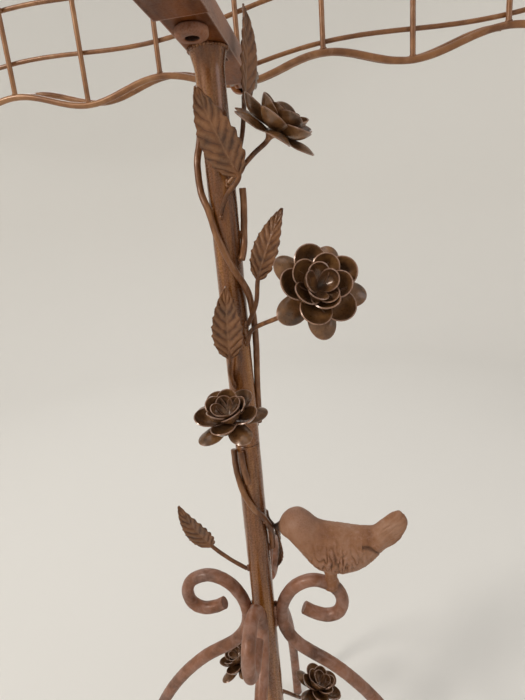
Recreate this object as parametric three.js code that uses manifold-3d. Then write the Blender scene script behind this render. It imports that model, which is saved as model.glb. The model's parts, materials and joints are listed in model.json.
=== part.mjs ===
// A garden-style wrought-iron music stand: four scrolled legs, a two-piece tube mast wound with
// vines, roses, leaves and a bird, and a tilting wire desk. Millimetres, +Z up, the origin on the
// floor under the mast, +Y towards the player, +X towards the bird.
import * as THREE from "three";
import { mergeVertices } from "three/addons/utils/BufferGeometryUtils.js";
import Module from "manifold-3d";

const wasm = await Module();
wasm.setup();

// Driving dimensions
const contactGap = 0.3; // left between pieces that touch or are welded
const junctionHeight = 300; // where the legs are welded to the lower pole
const lowerRise = 158; // from there up to the seam between the lower pole and the mast
const mastLength = 284; // from that seam up to the head bar
const poleRadius = 10;
const poleWall = 1.5;
const poleTail = 150; // how far the lower pole hangs below the leg junction
const flareOut = 3; // how far the tube flares under the head bar
const flareHeight = 14;
const spigotLength = 84;
const spigotClearance = 0.3;
const legRadius = 5.7;
const footReach = 150;
const footTrim = 2; // rod past the floor, sawn off level
const barWidth = 28;
const barHeight = 15;
const barLength = 172;
const barWall = 2;
const sleeveLength = 31; // band round the bar's front end
const sleeveWall = 2;
const vineRadius = 2.5;
const stemRadius = 1.7;
const petalThickness = 1;
const leafThickness = 1.2;
const deskWidth = 512;
const deskHeight = 240;
const wireCount = 7;
const edgeBay = 37; // from the outermost upright to the desk's edge
const waveHeight = 7.5;
const frameRadius = 3;
const wireRadius = 2.4;
const staffRadius = 2;
const staffCount = 5;
const staffPitch = 44;
const staffFirst = 12; // middle of the lowest stave wire above the hinge axis
const ledgeDepth = 36;
const ledgeRise = 10;
const pivotReach = 12; // hinge axis beyond the bar's far end
const tongueRadius = 8;
const tongueThickness = 5;
const cheekThickness = 4;
const plateThickness = 3.5;
const plateWidth = 18;
const plateTop = 22;
const plateBottom = 10;
const boltRadius = 3;
const boltClearance = 0.3;

const jointHeight = junctionHeight + lowerRise;

// Finishes
const brownIron = { color: 0x7a5034, roughness: 0.5, metalness: 0.35 };
const paleIron = { color: 0x9a7462, roughness: 0.55, metalness: 0.3 };
const darkIron = { color: 0x4c2f1e, roughness: 0.55, metalness: 0.35 };
const castIron = { color: 0x8a5f45, roughness: 0.7, metalness: 0.2 };
const boltSteel = { color: 0xa58c7e, roughness: 0.4, metalness: 0.6 };

function piece(name, geometry, finish) {
  const mesh = new THREE.Mesh(geometry, new THREE.MeshStandardMaterial(finish));
  mesh.name = name;
  return mesh;
}

// Boolean work
function toSolid(geometry) {
  const bare = geometry.clone();
  bare.deleteAttribute("normal");
  bare.deleteAttribute("uv");
  const merged = mergeVertices(bare, 1e-3);
  return new wasm.Manifold(
    new wasm.Mesh({
      numProp: 3,
      vertProperties: new Float32Array(merged.attributes.position.array),
      triVerts: new Uint32Array(merged.index.array),
    }),
  );
}

function toGeometry(solid) {
  const mesh = solid.getMesh();
  const geometry = new THREE.BufferGeometry();
  geometry.setAttribute("position", new THREE.BufferAttribute(mesh.vertProperties, 3));
  geometry.setIndex(new THREE.BufferAttribute(mesh.triVerts, 1));
  const flat = geometry.toNonIndexed();
  flat.computeVertexNormals();
  return flat;
}

function join(first, ...others) {
  return toGeometry(others.reduce((solid, other) => solid.add(toSolid(other)), toSolid(first)));
}

function cut(body, ...tools) {
  return toGeometry(tools.reduce((solid, tool) => solid.subtract(toSolid(tool)), toSolid(body)));
}

// Basic shapes
const point = (x, y, z) => new THREE.Vector3(x, y, z);

function roundSection(radius, sides) {
  const corners = [];
  for (let i = 0; i < sides; i++) {
    const turn = (2 * Math.PI * i) / sides;
    corners.push(new THREE.Vector2(radius * Math.cos(turn), radius * Math.sin(turn)));
  }
  return new THREE.Shape(corners);
}

function rod(curve, radius, steps, sides = 8) {
  return new THREE.ExtrudeGeometry(roundSection(radius, sides), {
    steps,
    extrudePath: curve,
    bevelEnabled: false,
  });
}

const bend = (points) => new THREE.CatmullRomCurve3(points, false, "centripetal");

// A turned piece about the Z axis from [radius, height] pairs
function turned(profile, sides = 20) {
  const points = profile.map(([radius, height]) => new THREE.Vector2(radius, height));
  return new THREE.LatheGeometry(points, sides).rotateX(Math.PI / 2);
}

function cylinder(radius, length, sides = 20) {
  return new THREE.CylinderGeometry(radius, radius, length, sides).rotateX(Math.PI / 2);
}

function box(low, high) {
  const size = point(...high).sub(point(...low));
  const middle = point(...high).add(point(...low)).multiplyScalar(0.5);
  return new THREE.BoxGeometry(size.x, size.y, size.z).translate(middle.x, middle.y, middle.z);
}

// Places on the pole's surface: height along the pole, angle from +X, distance off its surface
function onPole(height, degrees, standoff) {
  const turn = THREE.MathUtils.degToRad(degrees);
  const reach = poleRadius + standoff;
  return point(reach * Math.cos(turn), reach * Math.sin(turn), height);
}

// A rod that winds on the pole through [height, angle, distance off the surface] marks
class PoleCurve extends THREE.Curve {
  constructor(marks) {
    super();
    this.marks = bend(marks.map((mark) => point(...mark)));
  }

  getPoint(t) {
    const mark = this.marks.getPoint(t);
    return onPole(mark.x, mark.y, mark.z);
  }
}

// Turns a mesh's own Z axis to a direction, with its X axis kept as near level as it can be
function facing(direction, roll = 0) {
  const up = direction.clone().normalize();
  const side = point(0, 1, 0).cross(up);
  if (side.length() < 0.1) side.set(1, 0, 0);
  side.normalize();
  const back = up.clone().cross(side);
  const turn = new THREE.Matrix4().makeBasis(side, back, up);
  return turn.multiply(new THREE.Matrix4().makeRotationZ(roll));
}

const part = new THREE.Group();
const mast = new THREE.Group();
mast.position.z = jointHeight;
part.add(mast);

// Pole: a closed-bottomed lower tube and an upper tube that meet at the seam on a loose spigot
const poleInside = poleRadius - poleWall;
const flareRadius = poleRadius + flareOut;
const lowerPole = turned([
  [0, junctionHeight - poleTail],
  [poleRadius, junctionHeight - poleTail],
  [poleRadius, jointHeight],
  [poleInside, jointHeight],
  [poleInside, junctionHeight - poleTail + poleWall],
  [0, junctionHeight - poleTail + poleWall],
]);
part.add(piece("lower_pole", lowerPole, brownIron));

const spigotRadius = poleInside - spigotClearance;
const spigotChamfer = 2;
const spigot = turned(
  [
    [0, -spigotLength / 2],
    [spigotRadius - spigotChamfer, -spigotLength / 2],
    [spigotRadius, spigotChamfer - spigotLength / 2],
    [spigotRadius, spigotLength / 2 - spigotChamfer],
    [spigotRadius - spigotChamfer, spigotLength / 2],
    [0, spigotLength / 2],
  ],
  20,
);
mast.add(piece("joint_spigot", spigot, darkIron));

const poleTop = mastLength - contactGap;
const upperPole = turned([
  [poleInside, contactGap],
  [poleRadius, contactGap],
  [poleRadius, poleTop - flareHeight],
  [flareRadius, poleTop],
  [0, poleTop],
  [0, poleTop - poleWall],
  [poleInside, poleTop - poleWall],
  [poleInside, contactGap],
]);
mast.add(piece("upper_pole", upperPole, brownIron));

// Legs: a scroll beside the pole, a welded stretch on the pole, then a sweep out and straight down
// to a sawn foot.
// Marks are [distance out from the welded stretch, height above the junction].
const scrollMarks = [
  [20.5, -5],
  [30, -10],
  [42, -12],
  [51.5, -7],
  [55, 5.5],
  [49.5, 18],
  [31.7, 25],
  [15, 18],
  [4, 3],
  [0, -14],
  [2.5, -30],
  [12.7, -46],
];
const weldReach = poleRadius + legRadius + contactGap;

const sweepReach = 0.85; // first handle, as shares of the span and of the drop
const sweepDrop = 0.24;
const sweepKnee = 0.35; // second handle's height over the foot, as a share of the drop

function legCurve() {
  const marks = scrollMarks.map(([out, up]) => point(weldReach + out, 0, junctionHeight + up));
  const start = marks[marks.length - 1];
  const span = footReach - start.x;
  const drop = start.z + footTrim;
  const sweep = new THREE.CubicBezierCurve3(
    start,
    point(start.x + sweepReach * span, 0, start.z - sweepDrop * drop),
    point(footReach, 0, sweepKnee * drop - footTrim),
    point(footReach, 0, -footTrim),
  );
  marks.push(...sweep.getPoints(8).slice(1));
  return bend(marks);
}

const legSteps = 42;
const legPath = legCurve();
const sawRoom = legRadius + footTrim;
const floorCut = box([footReach - sawRoom, -sawRoom, -sawRoom], [footReach + sawRoom, sawRoom, 0]);
const leg = cut(rod(legPath, legRadius, legSteps, 8), floorCut);
const legNames = ["leg_right", "leg_back", "leg_left", "leg_front"];
legNames.forEach((name, i) => {
  const mesh = piece(name, leg.clone(), brownIron);
  mesh.rotation.z = (i * Math.PI) / 2;
  part.add(mesh);
});

// Bird: a solid casting, shaped by stations of [x, top, bottom, half width] above the junction
const birdStations = [
  [14.5, 80.2, 79.4, 0.4],
  [20, 83, 75, 3.5],
  [24, 89.6, 72, 8.5],
  [30, 94.3, 68, 13.5],
  [38, 95.3, 58, 16.5],
  [45, 91, 48.6, 18],
  [53, 84, 41.4, 19],
  [63, 81, 38.5, 19.5],
  [76, 80, 38.7, 18.5],
  [88, 79, 43, 15.5],
  [99, 80.5, 51.4, 11.5],
  [108, 89, 60.9, 8.5],
  [118, 96, 68.5, 6.5],
  [124, 92, 78.5, 4.5],
  [126, 88, 84, 1.5],
];

function birdGeometry() {
  const lines = bend(birdStations.map(([x, top, bottom]) => point(x, top, bottom)));
  const widths = bend(birdStations.map(([x, , , half]) => point(x, half, 0)));
  const geometry = new THREE.SphereGeometry(1, 14, 18).rotateX(Math.PI / 2);
  const places = geometry.attributes.position;
  for (let i = 0; i < places.count; i++) {
    const across = point(places.getX(i), places.getY(i), 0);
    const along = Math.acos(THREE.MathUtils.clamp(-places.getZ(i), -1, 1)) / Math.PI;
    const line = lines.getPoint(along);
    const half = widths.getPoint(along).y;
    const ring = across.length() > 1e-4 ? across.normalize() : across;
    const middle = (line.y + line.z) / 2;
    const high = (line.y - line.z) / 2;
    places.setXYZ(i, line.x, -ring.y * half, junctionHeight + middle + ring.x * high);
  }
  return geometry;
}

const bird = birdGeometry();
part.add(piece("bird", bird, castIron));

const pegReach = 62;
const pegRadius = legRadius + 1.5;
const pegLow = 17;
const pegHigh = 46;
const pegBlank = cylinder(pegRadius, pegHigh - pegLow, 16).translate(
  pegReach,
  0,
  junctionHeight + (pegLow + pegHigh) / 2,
);
const birdPeg = cut(
  pegBlank,
  rod(legPath, legRadius + contactGap, legSteps, 8),
  bird.clone().translate(0, 0, -contactGap),
);
part.add(piece("bird_peg", birdPeg, castIron));

// Vines: rods welded along the pole
const vineSeat = vineRadius + contactGap;

function vine(name, marks, steps, group) {
  const geometry = rod(new PoleCurve(marks), vineRadius, steps, 6);
  group.add(piece(name, geometry, brownIron));
}

const lowerVines = new THREE.Group();
lowerVines.position.z = jointHeight;
part.add(lowerVines);
vine(
  "lower_vine_long",
  [
    [-2, -140, vineSeat],
    [-18, -132, vineSeat + 0.8],
    [-36, -117, vineSeat],
    [-52, -82, vineSeat],
    [-70, -30, vineSeat],
    [-84, -6, vineSeat + 0.8],
    [-102, 8, vineSeat],
  ],
  16,
  lowerVines,
);
vine(
  "lower_vine_short",
  [
    [-2, -104, vineSeat],
    [-16, -98, vineSeat + 0.6],
    [-30, -88, vineSeat],
  ],
  6,
  lowerVines,
);
vine(
  "vine_long",
  [
    [240, -205, vineSeat],
    [229, -188, vineSeat],
    [214, -170, vineSeat + 2.4],
    [197, -158, vineSeat + 2.2],
    [181, -130, vineSeat],
    [166, -110, vineSeat],
    [142, -66, vineSeat],
    [117, -12, vineSeat + 1.4],
    [85, 10, vineSeat + 1.6],
    [50, 24, vineSeat],
    [14, 42, vineSeat],
  ],
  36,
  mast,
);
vine(
  "vine_side",
  [
    [196, 2, vineSeat + 2],
    [184, 8, vineSeat + 1.6],
    [164, 4, vineSeat],
    [147, -32, vineSeat],
  ],
  10,
  mast,
);

// Leaves: a stamped blade with a toothed edge, folded along its midrib, on a wire stem
const leafTeeth = 7;
const leafRows = 2 * leafTeeth;

function leafBlade(length, width, fold, arch) {
  const blade = new THREE.BoxGeometry(1, leafThickness, 1, 2, 1, leafRows);
  const places = blade.attributes.position;
  for (let i = 0; i < places.count; i++) {
    const across = 2 * places.getX(i);
    const along = places.getZ(i) + 0.5;
    const row = Math.round(along * leafRows);
    const outline = Math.sin(Math.PI * Math.pow(along, 0.72)) ** 0.8;
    const tooth = row % 2 ? 1 : 0.88;
    const half = Math.max((width / 2) * outline * tooth, 0.8);
    const rise = fold * Math.abs(across) * outline + arch * Math.sin(Math.PI * along);
    places.setXYZ(i, across * half, places.getY(i) + rise, along * length);
  }
  return blade;
}

// Turns a blade so that its length runs from base to tip and its face looks along a direction
function placeLeaf(blade, base, tip, face) {
  const along = tip.clone().sub(base).normalize();
  const across = face.clone().cross(along).normalize();
  const out = along.clone().cross(across);
  const turn = new THREE.Matrix4().makeBasis(across, out, along);
  return blade.applyMatrix4(turn.setPosition(base));
}

function leaf(name, { base, tip, face, width, stem, fold = 2.5, arch = 2 }, group) {
  const length = tip.distanceTo(base);
  const blade = placeLeaf(leafBlade(length, width, fold, arch), base, tip, face);
  const inside = base.clone().lerp(tip, 0.12);
  const stalk = rod(bend([inside, base, ...stem]), stemRadius, 3 * stem.length + 2, 6);
  group.add(piece(name, join(blade, stalk), brownIron));
}

const stemSeat = stemRadius + contactGap;
leaf(
  "leaf_top",
  {
    base: onPole(250, 40.7, 13.8),
    tip: onPole(312, 35.1, 18.7),
    face: point(0.97, -0.25, 0),
    width: 24,
    stem: [onPole(232, 35, 9.4), onPole(218, 20, stemSeat + 2), onPole(204, 12, stemSeat)],
  },
  mast,
);
leaf(
  "leaf_mast_front",
  {
    base: onPole(202, -48.2, 15.5),
    tip: onPole(254, -93.4, 24.1),
    face: point(-0.25, -0.95, -0.15),
    width: 29,
    stem: [onPole(190, -68, stemSeat + 3.5), onPole(179, -90, stemSeat)],
  },
  mast,
);
leaf(
  "leaf_side",
  {
    base: onPole(132, -12.1, 11.5),
    tip: onPole(180, -4.1, 32.1),
    face: point(-0.35, -0.9, 0.1),
    width: 22,
    stem: [onPole(115, -18, 9.4), onPole(99, -27, stemSeat)],
  },
  mast,
);
leaf(
  "leaf_low_front",
  {
    base: onPole(78, -94.1, 11.1),
    tip: onPole(131, -87.4, 12),
    face: point(0, -1, 0.05),
    width: 24,
    stem: [onPole(66, -110, stemSeat + 2), onPole(54, -108, stemSeat)],
  },
  mast,
);
leaf(
  "lower_leaf_left",
  {
    base: onPole(jointHeight - 92, -162.3, 29.4),
    tip: onPole(jointHeight - 48, -161.3, 52.3),
    face: point(0, -1, -0.1),
    width: 22,
    stem: [onPole(jointHeight - 107, -159.4, 15.6), onPole(jointHeight - 119, -150, stemSeat)],
  },
  part,
);
leaf(
  "lower_leaf_right",
  {
    base: onPole(jointHeight - 88, 23, 7.9),
    tip: onPole(jointHeight - 128, 32, 7.1),
    face: point(1, 0.2, 0),
    width: 15,
    arch: 1.5,
    stem: [onPole(jointHeight - 78, 42, stemSeat + 1), onPole(jointHeight - 70, 44, stemSeat)],
  },
  part,
);

// Roses: stamped tiers of round petals on one stem
function petalTier({ petals, radius, cup, reflex = 0, waist, lift }) {
  const t = petalThickness;
  const rings = [
    [0, 0],
    [0.55, 0],
    [1, 0],
    [1, t],
    [0.55, t],
    [0, t],
  ];
  const tier = turned(rings, 6 * petals);
  const places = tier.attributes.position;
  for (let i = 0; i < places.count; i++) {
    const x = places.getX(i);
    const y = places.getY(i);
    const reach = Math.hypot(x, y);
    const wave = Math.abs(Math.cos((petals * Math.atan2(y, x)) / 2));
    const outline = 1 - waist * (1 - wave ** 0.6) * reach;
    const height = cup * reach ** 2 - reflex * reach ** 4;
    const stretch = radius * outline;
    places.setXYZ(i, x * stretch, y * stretch, places.getZ(i) + lift + height);
  }
  return tier;
}

const tierStep = petalThickness + contactGap;
const calyxRadius = 4;
const calyxHeight = 3;

function rose(name, { seat, axis, radius, roll = 0, stem, tiers }, group) {
  const turn = facing(axis, roll);
  const bloom = new THREE.Group();
  bloom.applyMatrix4(turn.setPosition(seat));
  const shares = {
    outer: { petals: 5, radius, cup: 0.2 * radius, reflex: 0.16 * radius, waist: 0.5 },
    middle: { petals: 6, radius: 0.88 * radius, cup: 0.45 * radius, waist: 0.35 },
    inner: { petals: 5, radius: 0.56 * radius, cup: 0.6 * radius, waist: 0.5 },
  };
  tiers.forEach((tier, i) => {
    const geometry = petalTier({ ...shares[tier], lift: i * tierStep + contactGap });
    bloom.add(piece(`${name}_${tier}_petals`, geometry, tier === "inner" ? darkIron : brownIron));
  });
  group.add(bloom);
  const calyx = cylinder(calyxRadius, calyxHeight, 8).translate(0, 0, -calyxHeight / 2);
  const inside = seat.clone().addScaledVector(axis.clone().normalize(), -calyxHeight / 2);
  const below = seat.clone().addScaledVector(axis.clone().normalize(), -2 * calyxHeight);
  const stalk = rod(bend([inside, below, ...stem]), stemRadius, 2 * stem.length + 4, 6);
  group.add(piece(`${name}_stem`, join(calyx.applyMatrix4(turn), stalk), brownIron));
}

const threeTiers = ["outer", "middle", "inner"];
rose(
  "rose_top",
  {
    seat: onPole(227, -14.4, 30.3),
    axis: point(0.62, -0.12, 0.78),
    radius: 31,
    stem: [onPole(216, -22.2, 19.2), onPole(199, -52, stemSeat)],
    tiers: threeTiers,
  },
  mast,
);
rose(
  "rose_middle",
  {
    seat: onPole(127, -32, 65.5),
    axis: point(0.3, -0.86, 0.42),
    radius: 32,
    roll: 0.3,
    stem: [onPole(110, -31.8, 39.4), onPole(95, -33, stemSeat + 4), onPole(86, -36, stemSeat)],
    tiers: threeTiers,
  },
  mast,
);
rose(
  "rose_low",
  {
    seat: onPole(36, -93.9, 27.1),
    axis: point(0, -0.42, 0.9),
    radius: 28,
    stem: [onPole(22, -94.4, 16.1), onPole(14, -90, stemSeat)],
    tiers: threeTiers,
  },
  mast,
);
rose(
  "base_rose_right",
  {
    seat: onPole(junctionHeight - 148, 42, 43.8),
    axis: point(0.35, 0.1, 0.9),
    radius: 26,
    stem: [onPole(junctionHeight - 150, 45, 29.6), onPole(junctionHeight - 118, 45, stemSeat)],
    tiers: ["outer", "middle"],
  },
  part,
);
rose(
  "base_rose_left",
  {
    seat: onPole(junctionHeight - 108, 144.2, 34.4),
    axis: point(-0.4, 0.1, 0.9),
    radius: 24,
    stem: [onPole(junctionHeight - 116, 142.4, 22.8), onPole(junctionHeight - 100, 140, stemSeat)],
    tiers: ["outer", "middle"],
  },
  part,
);

// Head: a rectangular tube laid front to back on the pole, with a button bolt and a hinge tongue
const head = new THREE.Group();
head.position.z = mastLength;
mast.add(head);
const barEnd = barLength / 2;
const axisY = barEnd + pivotReach;
const axisZ = barHeight / 2;
const boltHole = boltRadius + boltClearance;
const frontBoltY = -36;
const slotLength = 9;
const slotWidth = 5;
const slotInset = 9; // from the bar's side to the slot's middle
const slotOffset = 14; // from the tube's wall to the slot's middle
const slotX = barWidth / 2 - slotInset;
const slotY = poleRadius + slotOffset;
const sleeve = box(
  [-barWidth / 2 - sleeveWall, -barEnd, -sleeveWall],
  [barWidth / 2 + sleeveWall, sleeveLength - barEnd, barHeight + sleeveWall],
);
const barTube = cut(
  join(box([-barWidth / 2, -barEnd, 0], [barWidth / 2, barEnd, barHeight]), sleeve),
  box(
    [barWall - barWidth / 2, -barEnd - 1, barWall],
    [barWidth / 2 - barWall, barEnd + 1, barHeight - barWall],
  ),
  cylinder(boltHole, 4 * barWall, 16).translate(0, frontBoltY, 0),
  box(
    [slotX - slotWidth / 2, slotY - slotLength / 2, -1],
    [slotX + slotWidth / 2, slotY + slotLength / 2, barWall + 1],
  ),
);
head.add(piece("head_bar", barTube, paleIron));

const buttonRadius = 10;
const buttonHeight = 6;
const buttonRound = 2;
const socketRadius = 4;
const socketDepth = 4;
const shankPast = 6; // how far the bolt's shank reaches past the bar's wall
const button = turned(
  [
    [0, socketDepth - buttonHeight],
    [socketRadius, socketDepth - buttonHeight],
    [socketRadius, -buttonHeight],
    [buttonRadius - buttonRound, -buttonHeight],
    [buttonRadius, buttonRound - buttonHeight],
    [buttonRadius, 0],
    [boltRadius, 0],
    [boltRadius, barWall + shankPast],
    [0, barWall + shankPast],
  ],
  20,
).translate(0, frontBoltY, -contactGap);
head.add(piece("front_bolt", button, paleIron));

const plugDepth = 16;
const plugHalfWidth = barWidth / 2 - barWall - contactGap;
const plugLow = barWall + contactGap;
const tongueEnd = cylinder(tongueRadius - contactGap, tongueThickness, 20)
  .rotateY(Math.PI / 2)
  .translate(0, axisY, axisZ);
const tongueHigh = Math.min(tongueRadius - contactGap, barHeight / 2 - plugLow);
const tongue = cut(
  join(
    box(
      [-plugHalfWidth, barEnd - plugDepth, plugLow],
      [plugHalfWidth, barEnd - contactGap, barHeight - plugLow],
    ),
    box(
      [-tongueThickness / 2, barEnd - plugDepth, axisZ - tongueHigh],
      [tongueThickness / 2, axisY, axisZ + tongueHigh],
    ),
    tongueEnd,
  ),
  cylinder(boltHole, 2 * tongueThickness, 16).rotateY(Math.PI / 2).translate(0, axisY, axisZ),
);
head.add(piece("hinge_tongue", tongue, paleIron));

// Tilt bolt along X through the tongue and the desk's cheek, with a wing nut on its free end
const pivot = new THREE.Group();
pivot.position.set(0, axisY, axisZ);
head.add(pivot);
const boltHeadRadius = 5.5;
const boltHeadHeight = 4;
const cheekNear = tongueThickness / 2 + contactGap;
const cheekFar = cheekNear + cheekThickness;
const wingLength = 7;
const wingReach = 10.5;
const wingThickness = 2.5;
const wingLean = -0.9; // how the wings stand at rest, in radians
const nutRadius = 5.2;
const boltStart = -tongueThickness / 2 - contactGap;
const boltPast = 2; // thread showing beyond the nut
const boltEnd = plateWidth / 2 + contactGap + wingLength + boltPast;
const tiltBolt = turned(
  [
    [0, boltStart - boltHeadHeight],
    [boltHeadRadius, boltStart - boltHeadHeight],
    [boltHeadRadius, boltStart],
    [boltRadius, boltStart],
    [boltRadius, boltEnd],
    [0, boltEnd],
  ],
  16,
).rotateY(Math.PI / 2);
pivot.add(piece("tilt_bolt", tiltBolt, boltSteel));

const nutStart = cheekFar + contactGap;
const wingStart = plateWidth / 2 + contactGap;
const nutEnd = wingStart + wingLength;
const wing = box(
  [wingStart, -wingReach, -wingThickness / 2],
  [nutEnd, wingReach, wingThickness / 2],
);
const nutBody = cylinder(nutRadius, nutEnd - nutStart, 16)
  .rotateY(Math.PI / 2)
  .translate((nutStart + nutEnd) / 2, 0, 0);
const nutBore = cylinder(boltHole, 4 * nutEnd, 16).rotateY(Math.PI / 2);
const wingNut = cut(join(nutBody, wing), nutBore);
pivot.add(piece("wing_nut", wingNut.rotateX(wingLean), boltSteel));

// Desk: built about the hinge axis, upright, its face towards +Y
const desk = new THREE.Group();
desk.position.copy(pivot.position);
head.add(desk);
const plateFront = tongueRadius + contactGap;
const plateBack = plateFront + plateThickness;
const panelY = plateBack + contactGap + frameRadius;
const bottomRise = 7;
const topRise = bottomRise + deskHeight;
const wirePitch = (deskWidth - 2 * edgeBay) / (wireCount - 1);
const wireX = (i) => (i - (wireCount - 1) / 2) * wirePitch;
const bottomWave = (x) => bottomRise - waveHeight * Math.cos((Math.PI * x) / wirePitch);
const topWave = (x) => topRise + waveHeight * Math.cos((Math.PI * x) / wirePitch);
const sideX = deskWidth / 2 - frameRadius;

function waveCurve(height, y, from, to, count) {
  const marks = [];
  for (let i = 0; i <= count; i++) {
    const x = from + ((to - from) * i) / count;
    marks.push(point(x, y, height(x)));
  }
  return bend(marks);
}

const railEnd = deskWidth / 2;
const railSteps = 36;
const railMarks = 32;
const staffSteps = 18;
desk.add(
  piece(
    "desk_bottom_rail",
    rod(waveCurve(bottomWave, panelY, -railEnd, railEnd, railMarks), frameRadius, railSteps, 6),
    brownIron,
  ),
);
desk.add(
  piece(
    "desk_top_rail",
    rod(waveCurve(topWave, panelY, -railEnd, railEnd, railMarks), frameRadius, railSteps, 6),
    brownIron,
  ),
);

// A straight upright between the two rails, standing clear of both by the gap
const slopeRoom = 1.2; // the rails slope where an upright meets them off a crest

function upright(name, x, radius) {
  const reach = frameRadius + contactGap + slopeRoom * Math.abs(Math.sin((Math.PI * x) / wirePitch));
  const low = bottomWave(x) + reach;
  const high = topWave(x) - reach;
  const curve = new THREE.LineCurve3(point(x, panelY, low), point(x, panelY, high));
  desk.add(piece(name, rod(curve, radius, 1), brownIron));
}

upright("desk_left_side", -sideX, frameRadius);
upright("desk_right_side", sideX, frameRadius);
for (let i = 0; i < wireCount; i++)
  upright(`desk_wire_${i + 1}`, wireX(i), wireRadius);

// Stave wires on the player's side of the uprights, each rising to the right in a long wave. The
// lowest one is short: it starts where it meets the bottom rail.
const staffY = panelY + Math.max(wireRadius, frameRadius) + contactGap + staffRadius;
const staffSlope = 0.08;
const staffWave = 5.8;
const staffLine = (i) => (x) =>
  staffFirst + i * staffPitch + staffSlope * x + staffWave * Math.sin((Math.PI * x) / (2 * wirePitch));
const shortStart = 12;
for (let i = 0; i < staffCount; i++) {
  const curve = waveCurve(staffLine(i), staffY, i === 0 ? shortStart : -sideX, sideX, staffSteps);
  desk.add(piece(`stave_wire_${i + 1}`, rod(curve, staffRadius, staffSteps, 6), brownIron));
}

// Ledge: a waved lip carried on arms from the bottom rail, rising towards the lip
const lipOverhang = 6; // past the outermost arms
const ledgeHalf = wireX(wireCount - 1) + lipOverhang;
const lipY = panelY + ledgeDepth;
const armStart = panelY + frameRadius + contactGap;
const lipWave = (x) => bottomWave(x) + ledgeRise;
const armRadius = 2.2;
const arms = [];
for (let i = 0; i < wireCount; i++) {
  const x = wireX(i);
  const rise = (ledgeRise * (armStart - panelY)) / ledgeDepth;
  const from = point(x, armStart, bottomWave(x) + rise);
  arms.push(rod(new THREE.LineCurve3(from, point(x, lipY, lipWave(x))), armRadius, 1, 6));
}
const lip = rod(waveCurve(lipWave, lipY, -ledgeHalf, ledgeHalf, railMarks), frameRadius, railSteps, 6);
desk.add(piece("desk_ledge", join(lip, ...arms), brownIron));

// Desk bracket: a round-bottomed plate in front of the bottom rail, with a cheek on the hinge bolt
const plateHalf = plateWidth / 2;
const plateOutline = new THREE.Shape();
plateOutline.moveTo(plateHalf, plateTop);
plateOutline.lineTo(-plateHalf, plateTop);
plateOutline.lineTo(-plateHalf, plateHalf - plateBottom);
plateOutline.absarc(0, plateHalf - plateBottom, plateHalf, Math.PI, 2 * Math.PI, false);
plateOutline.lineTo(plateHalf, plateTop);
const plate = new THREE.ExtrudeGeometry(plateOutline, {
  depth: plateThickness,
  bevelEnabled: false,
  curveSegments: 8,
})
  .rotateX(Math.PI / 2)
  .translate(0, plateBack, 0);
const cheek = join(
  box([cheekNear, 0, -tongueRadius], [cheekFar, plateBack, tongueRadius]),
  cylinder(tongueRadius, cheekThickness, 20)
    .rotateY(Math.PI / 2)
    .translate((cheekNear + cheekFar) / 2, 0, 0),
);
const cheekBore = cylinder(boltHole, 40, 16).rotateY(Math.PI / 2);
desk.add(piece("desk_bracket", cut(join(plate, cheek), cheekBore), paleIron));

export default part;
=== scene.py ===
import json
import math
import bmesh
import bpy
import numpy as np
from mathutils import Matrix, Vector, noise


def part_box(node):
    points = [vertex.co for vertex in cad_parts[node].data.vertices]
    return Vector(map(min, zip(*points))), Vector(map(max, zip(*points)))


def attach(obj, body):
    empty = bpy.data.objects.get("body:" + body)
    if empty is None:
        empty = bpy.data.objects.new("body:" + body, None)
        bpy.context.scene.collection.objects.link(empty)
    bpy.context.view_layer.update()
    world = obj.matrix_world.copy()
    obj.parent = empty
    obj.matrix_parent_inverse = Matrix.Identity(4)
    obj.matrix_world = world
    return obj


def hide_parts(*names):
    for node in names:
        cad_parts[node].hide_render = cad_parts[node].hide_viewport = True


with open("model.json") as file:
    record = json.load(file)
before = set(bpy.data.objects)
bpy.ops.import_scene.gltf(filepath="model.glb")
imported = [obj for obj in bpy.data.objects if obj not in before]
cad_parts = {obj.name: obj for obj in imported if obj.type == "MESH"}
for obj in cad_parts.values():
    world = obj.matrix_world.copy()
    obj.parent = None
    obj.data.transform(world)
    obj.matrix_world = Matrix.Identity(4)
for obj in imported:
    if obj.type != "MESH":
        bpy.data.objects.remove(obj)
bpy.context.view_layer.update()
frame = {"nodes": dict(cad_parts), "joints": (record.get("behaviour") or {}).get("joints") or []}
print("frame loaded:", len(frame["nodes"]), "nodes")

mm = 0.001  # everything below is written in millimetres


def boxMm(node):
    low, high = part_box(node)
    return np.array(low) / mm, np.array(high) / mm


poleRadius = boxMm("lower_pole")[1][0]
jointHeight = boxMm("lower_pole")[1][2]
poleFoot = boxMm("lower_pole")[0][2]
poleTop = boxMm("upper_pole")[1][2]
junctionHeight = 300.0  # where the four legs meet the pole
legRadius = boxMm("leg_right")[1][1]
hinge = np.array(next(j["pos_m"] for j in frame["joints"] if j["name"] == "desk_tilt")) / mm


def curveThrough(points, perSpan=24):
    # centripetal, so that uneven marks give no loops
    p = [np.array(q, float) for q in points]
    p = [2 * p[0] - p[1]] + p + [2 * p[-1] - p[-2]]
    out = []
    for a, b, c, d in zip(p, p[1:], p[2:], p[3:]):
        ab, bc, cd = [max(np.linalg.norm(v - u), 1e-9) ** 0.5 for u, v in ((a, b), (b, c), (c, d))]
        startPull = ((b - a) / ab - (c - a) / (ab + bc) + (c - b) / bc) * bc
        endPull = ((c - b) / bc - (d - b) / (bc + cd) + (d - c) / cd) * bc
        for t in np.arange(perSpan) / perSpan:
            out.append(b + startPull * t + (3 * (c - b) - 2 * startPull - endPull) * t**2
                       + (2 * (b - c) + startPull + endPull) * t**3)
    return np.array(out + [p[-2]])


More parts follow.
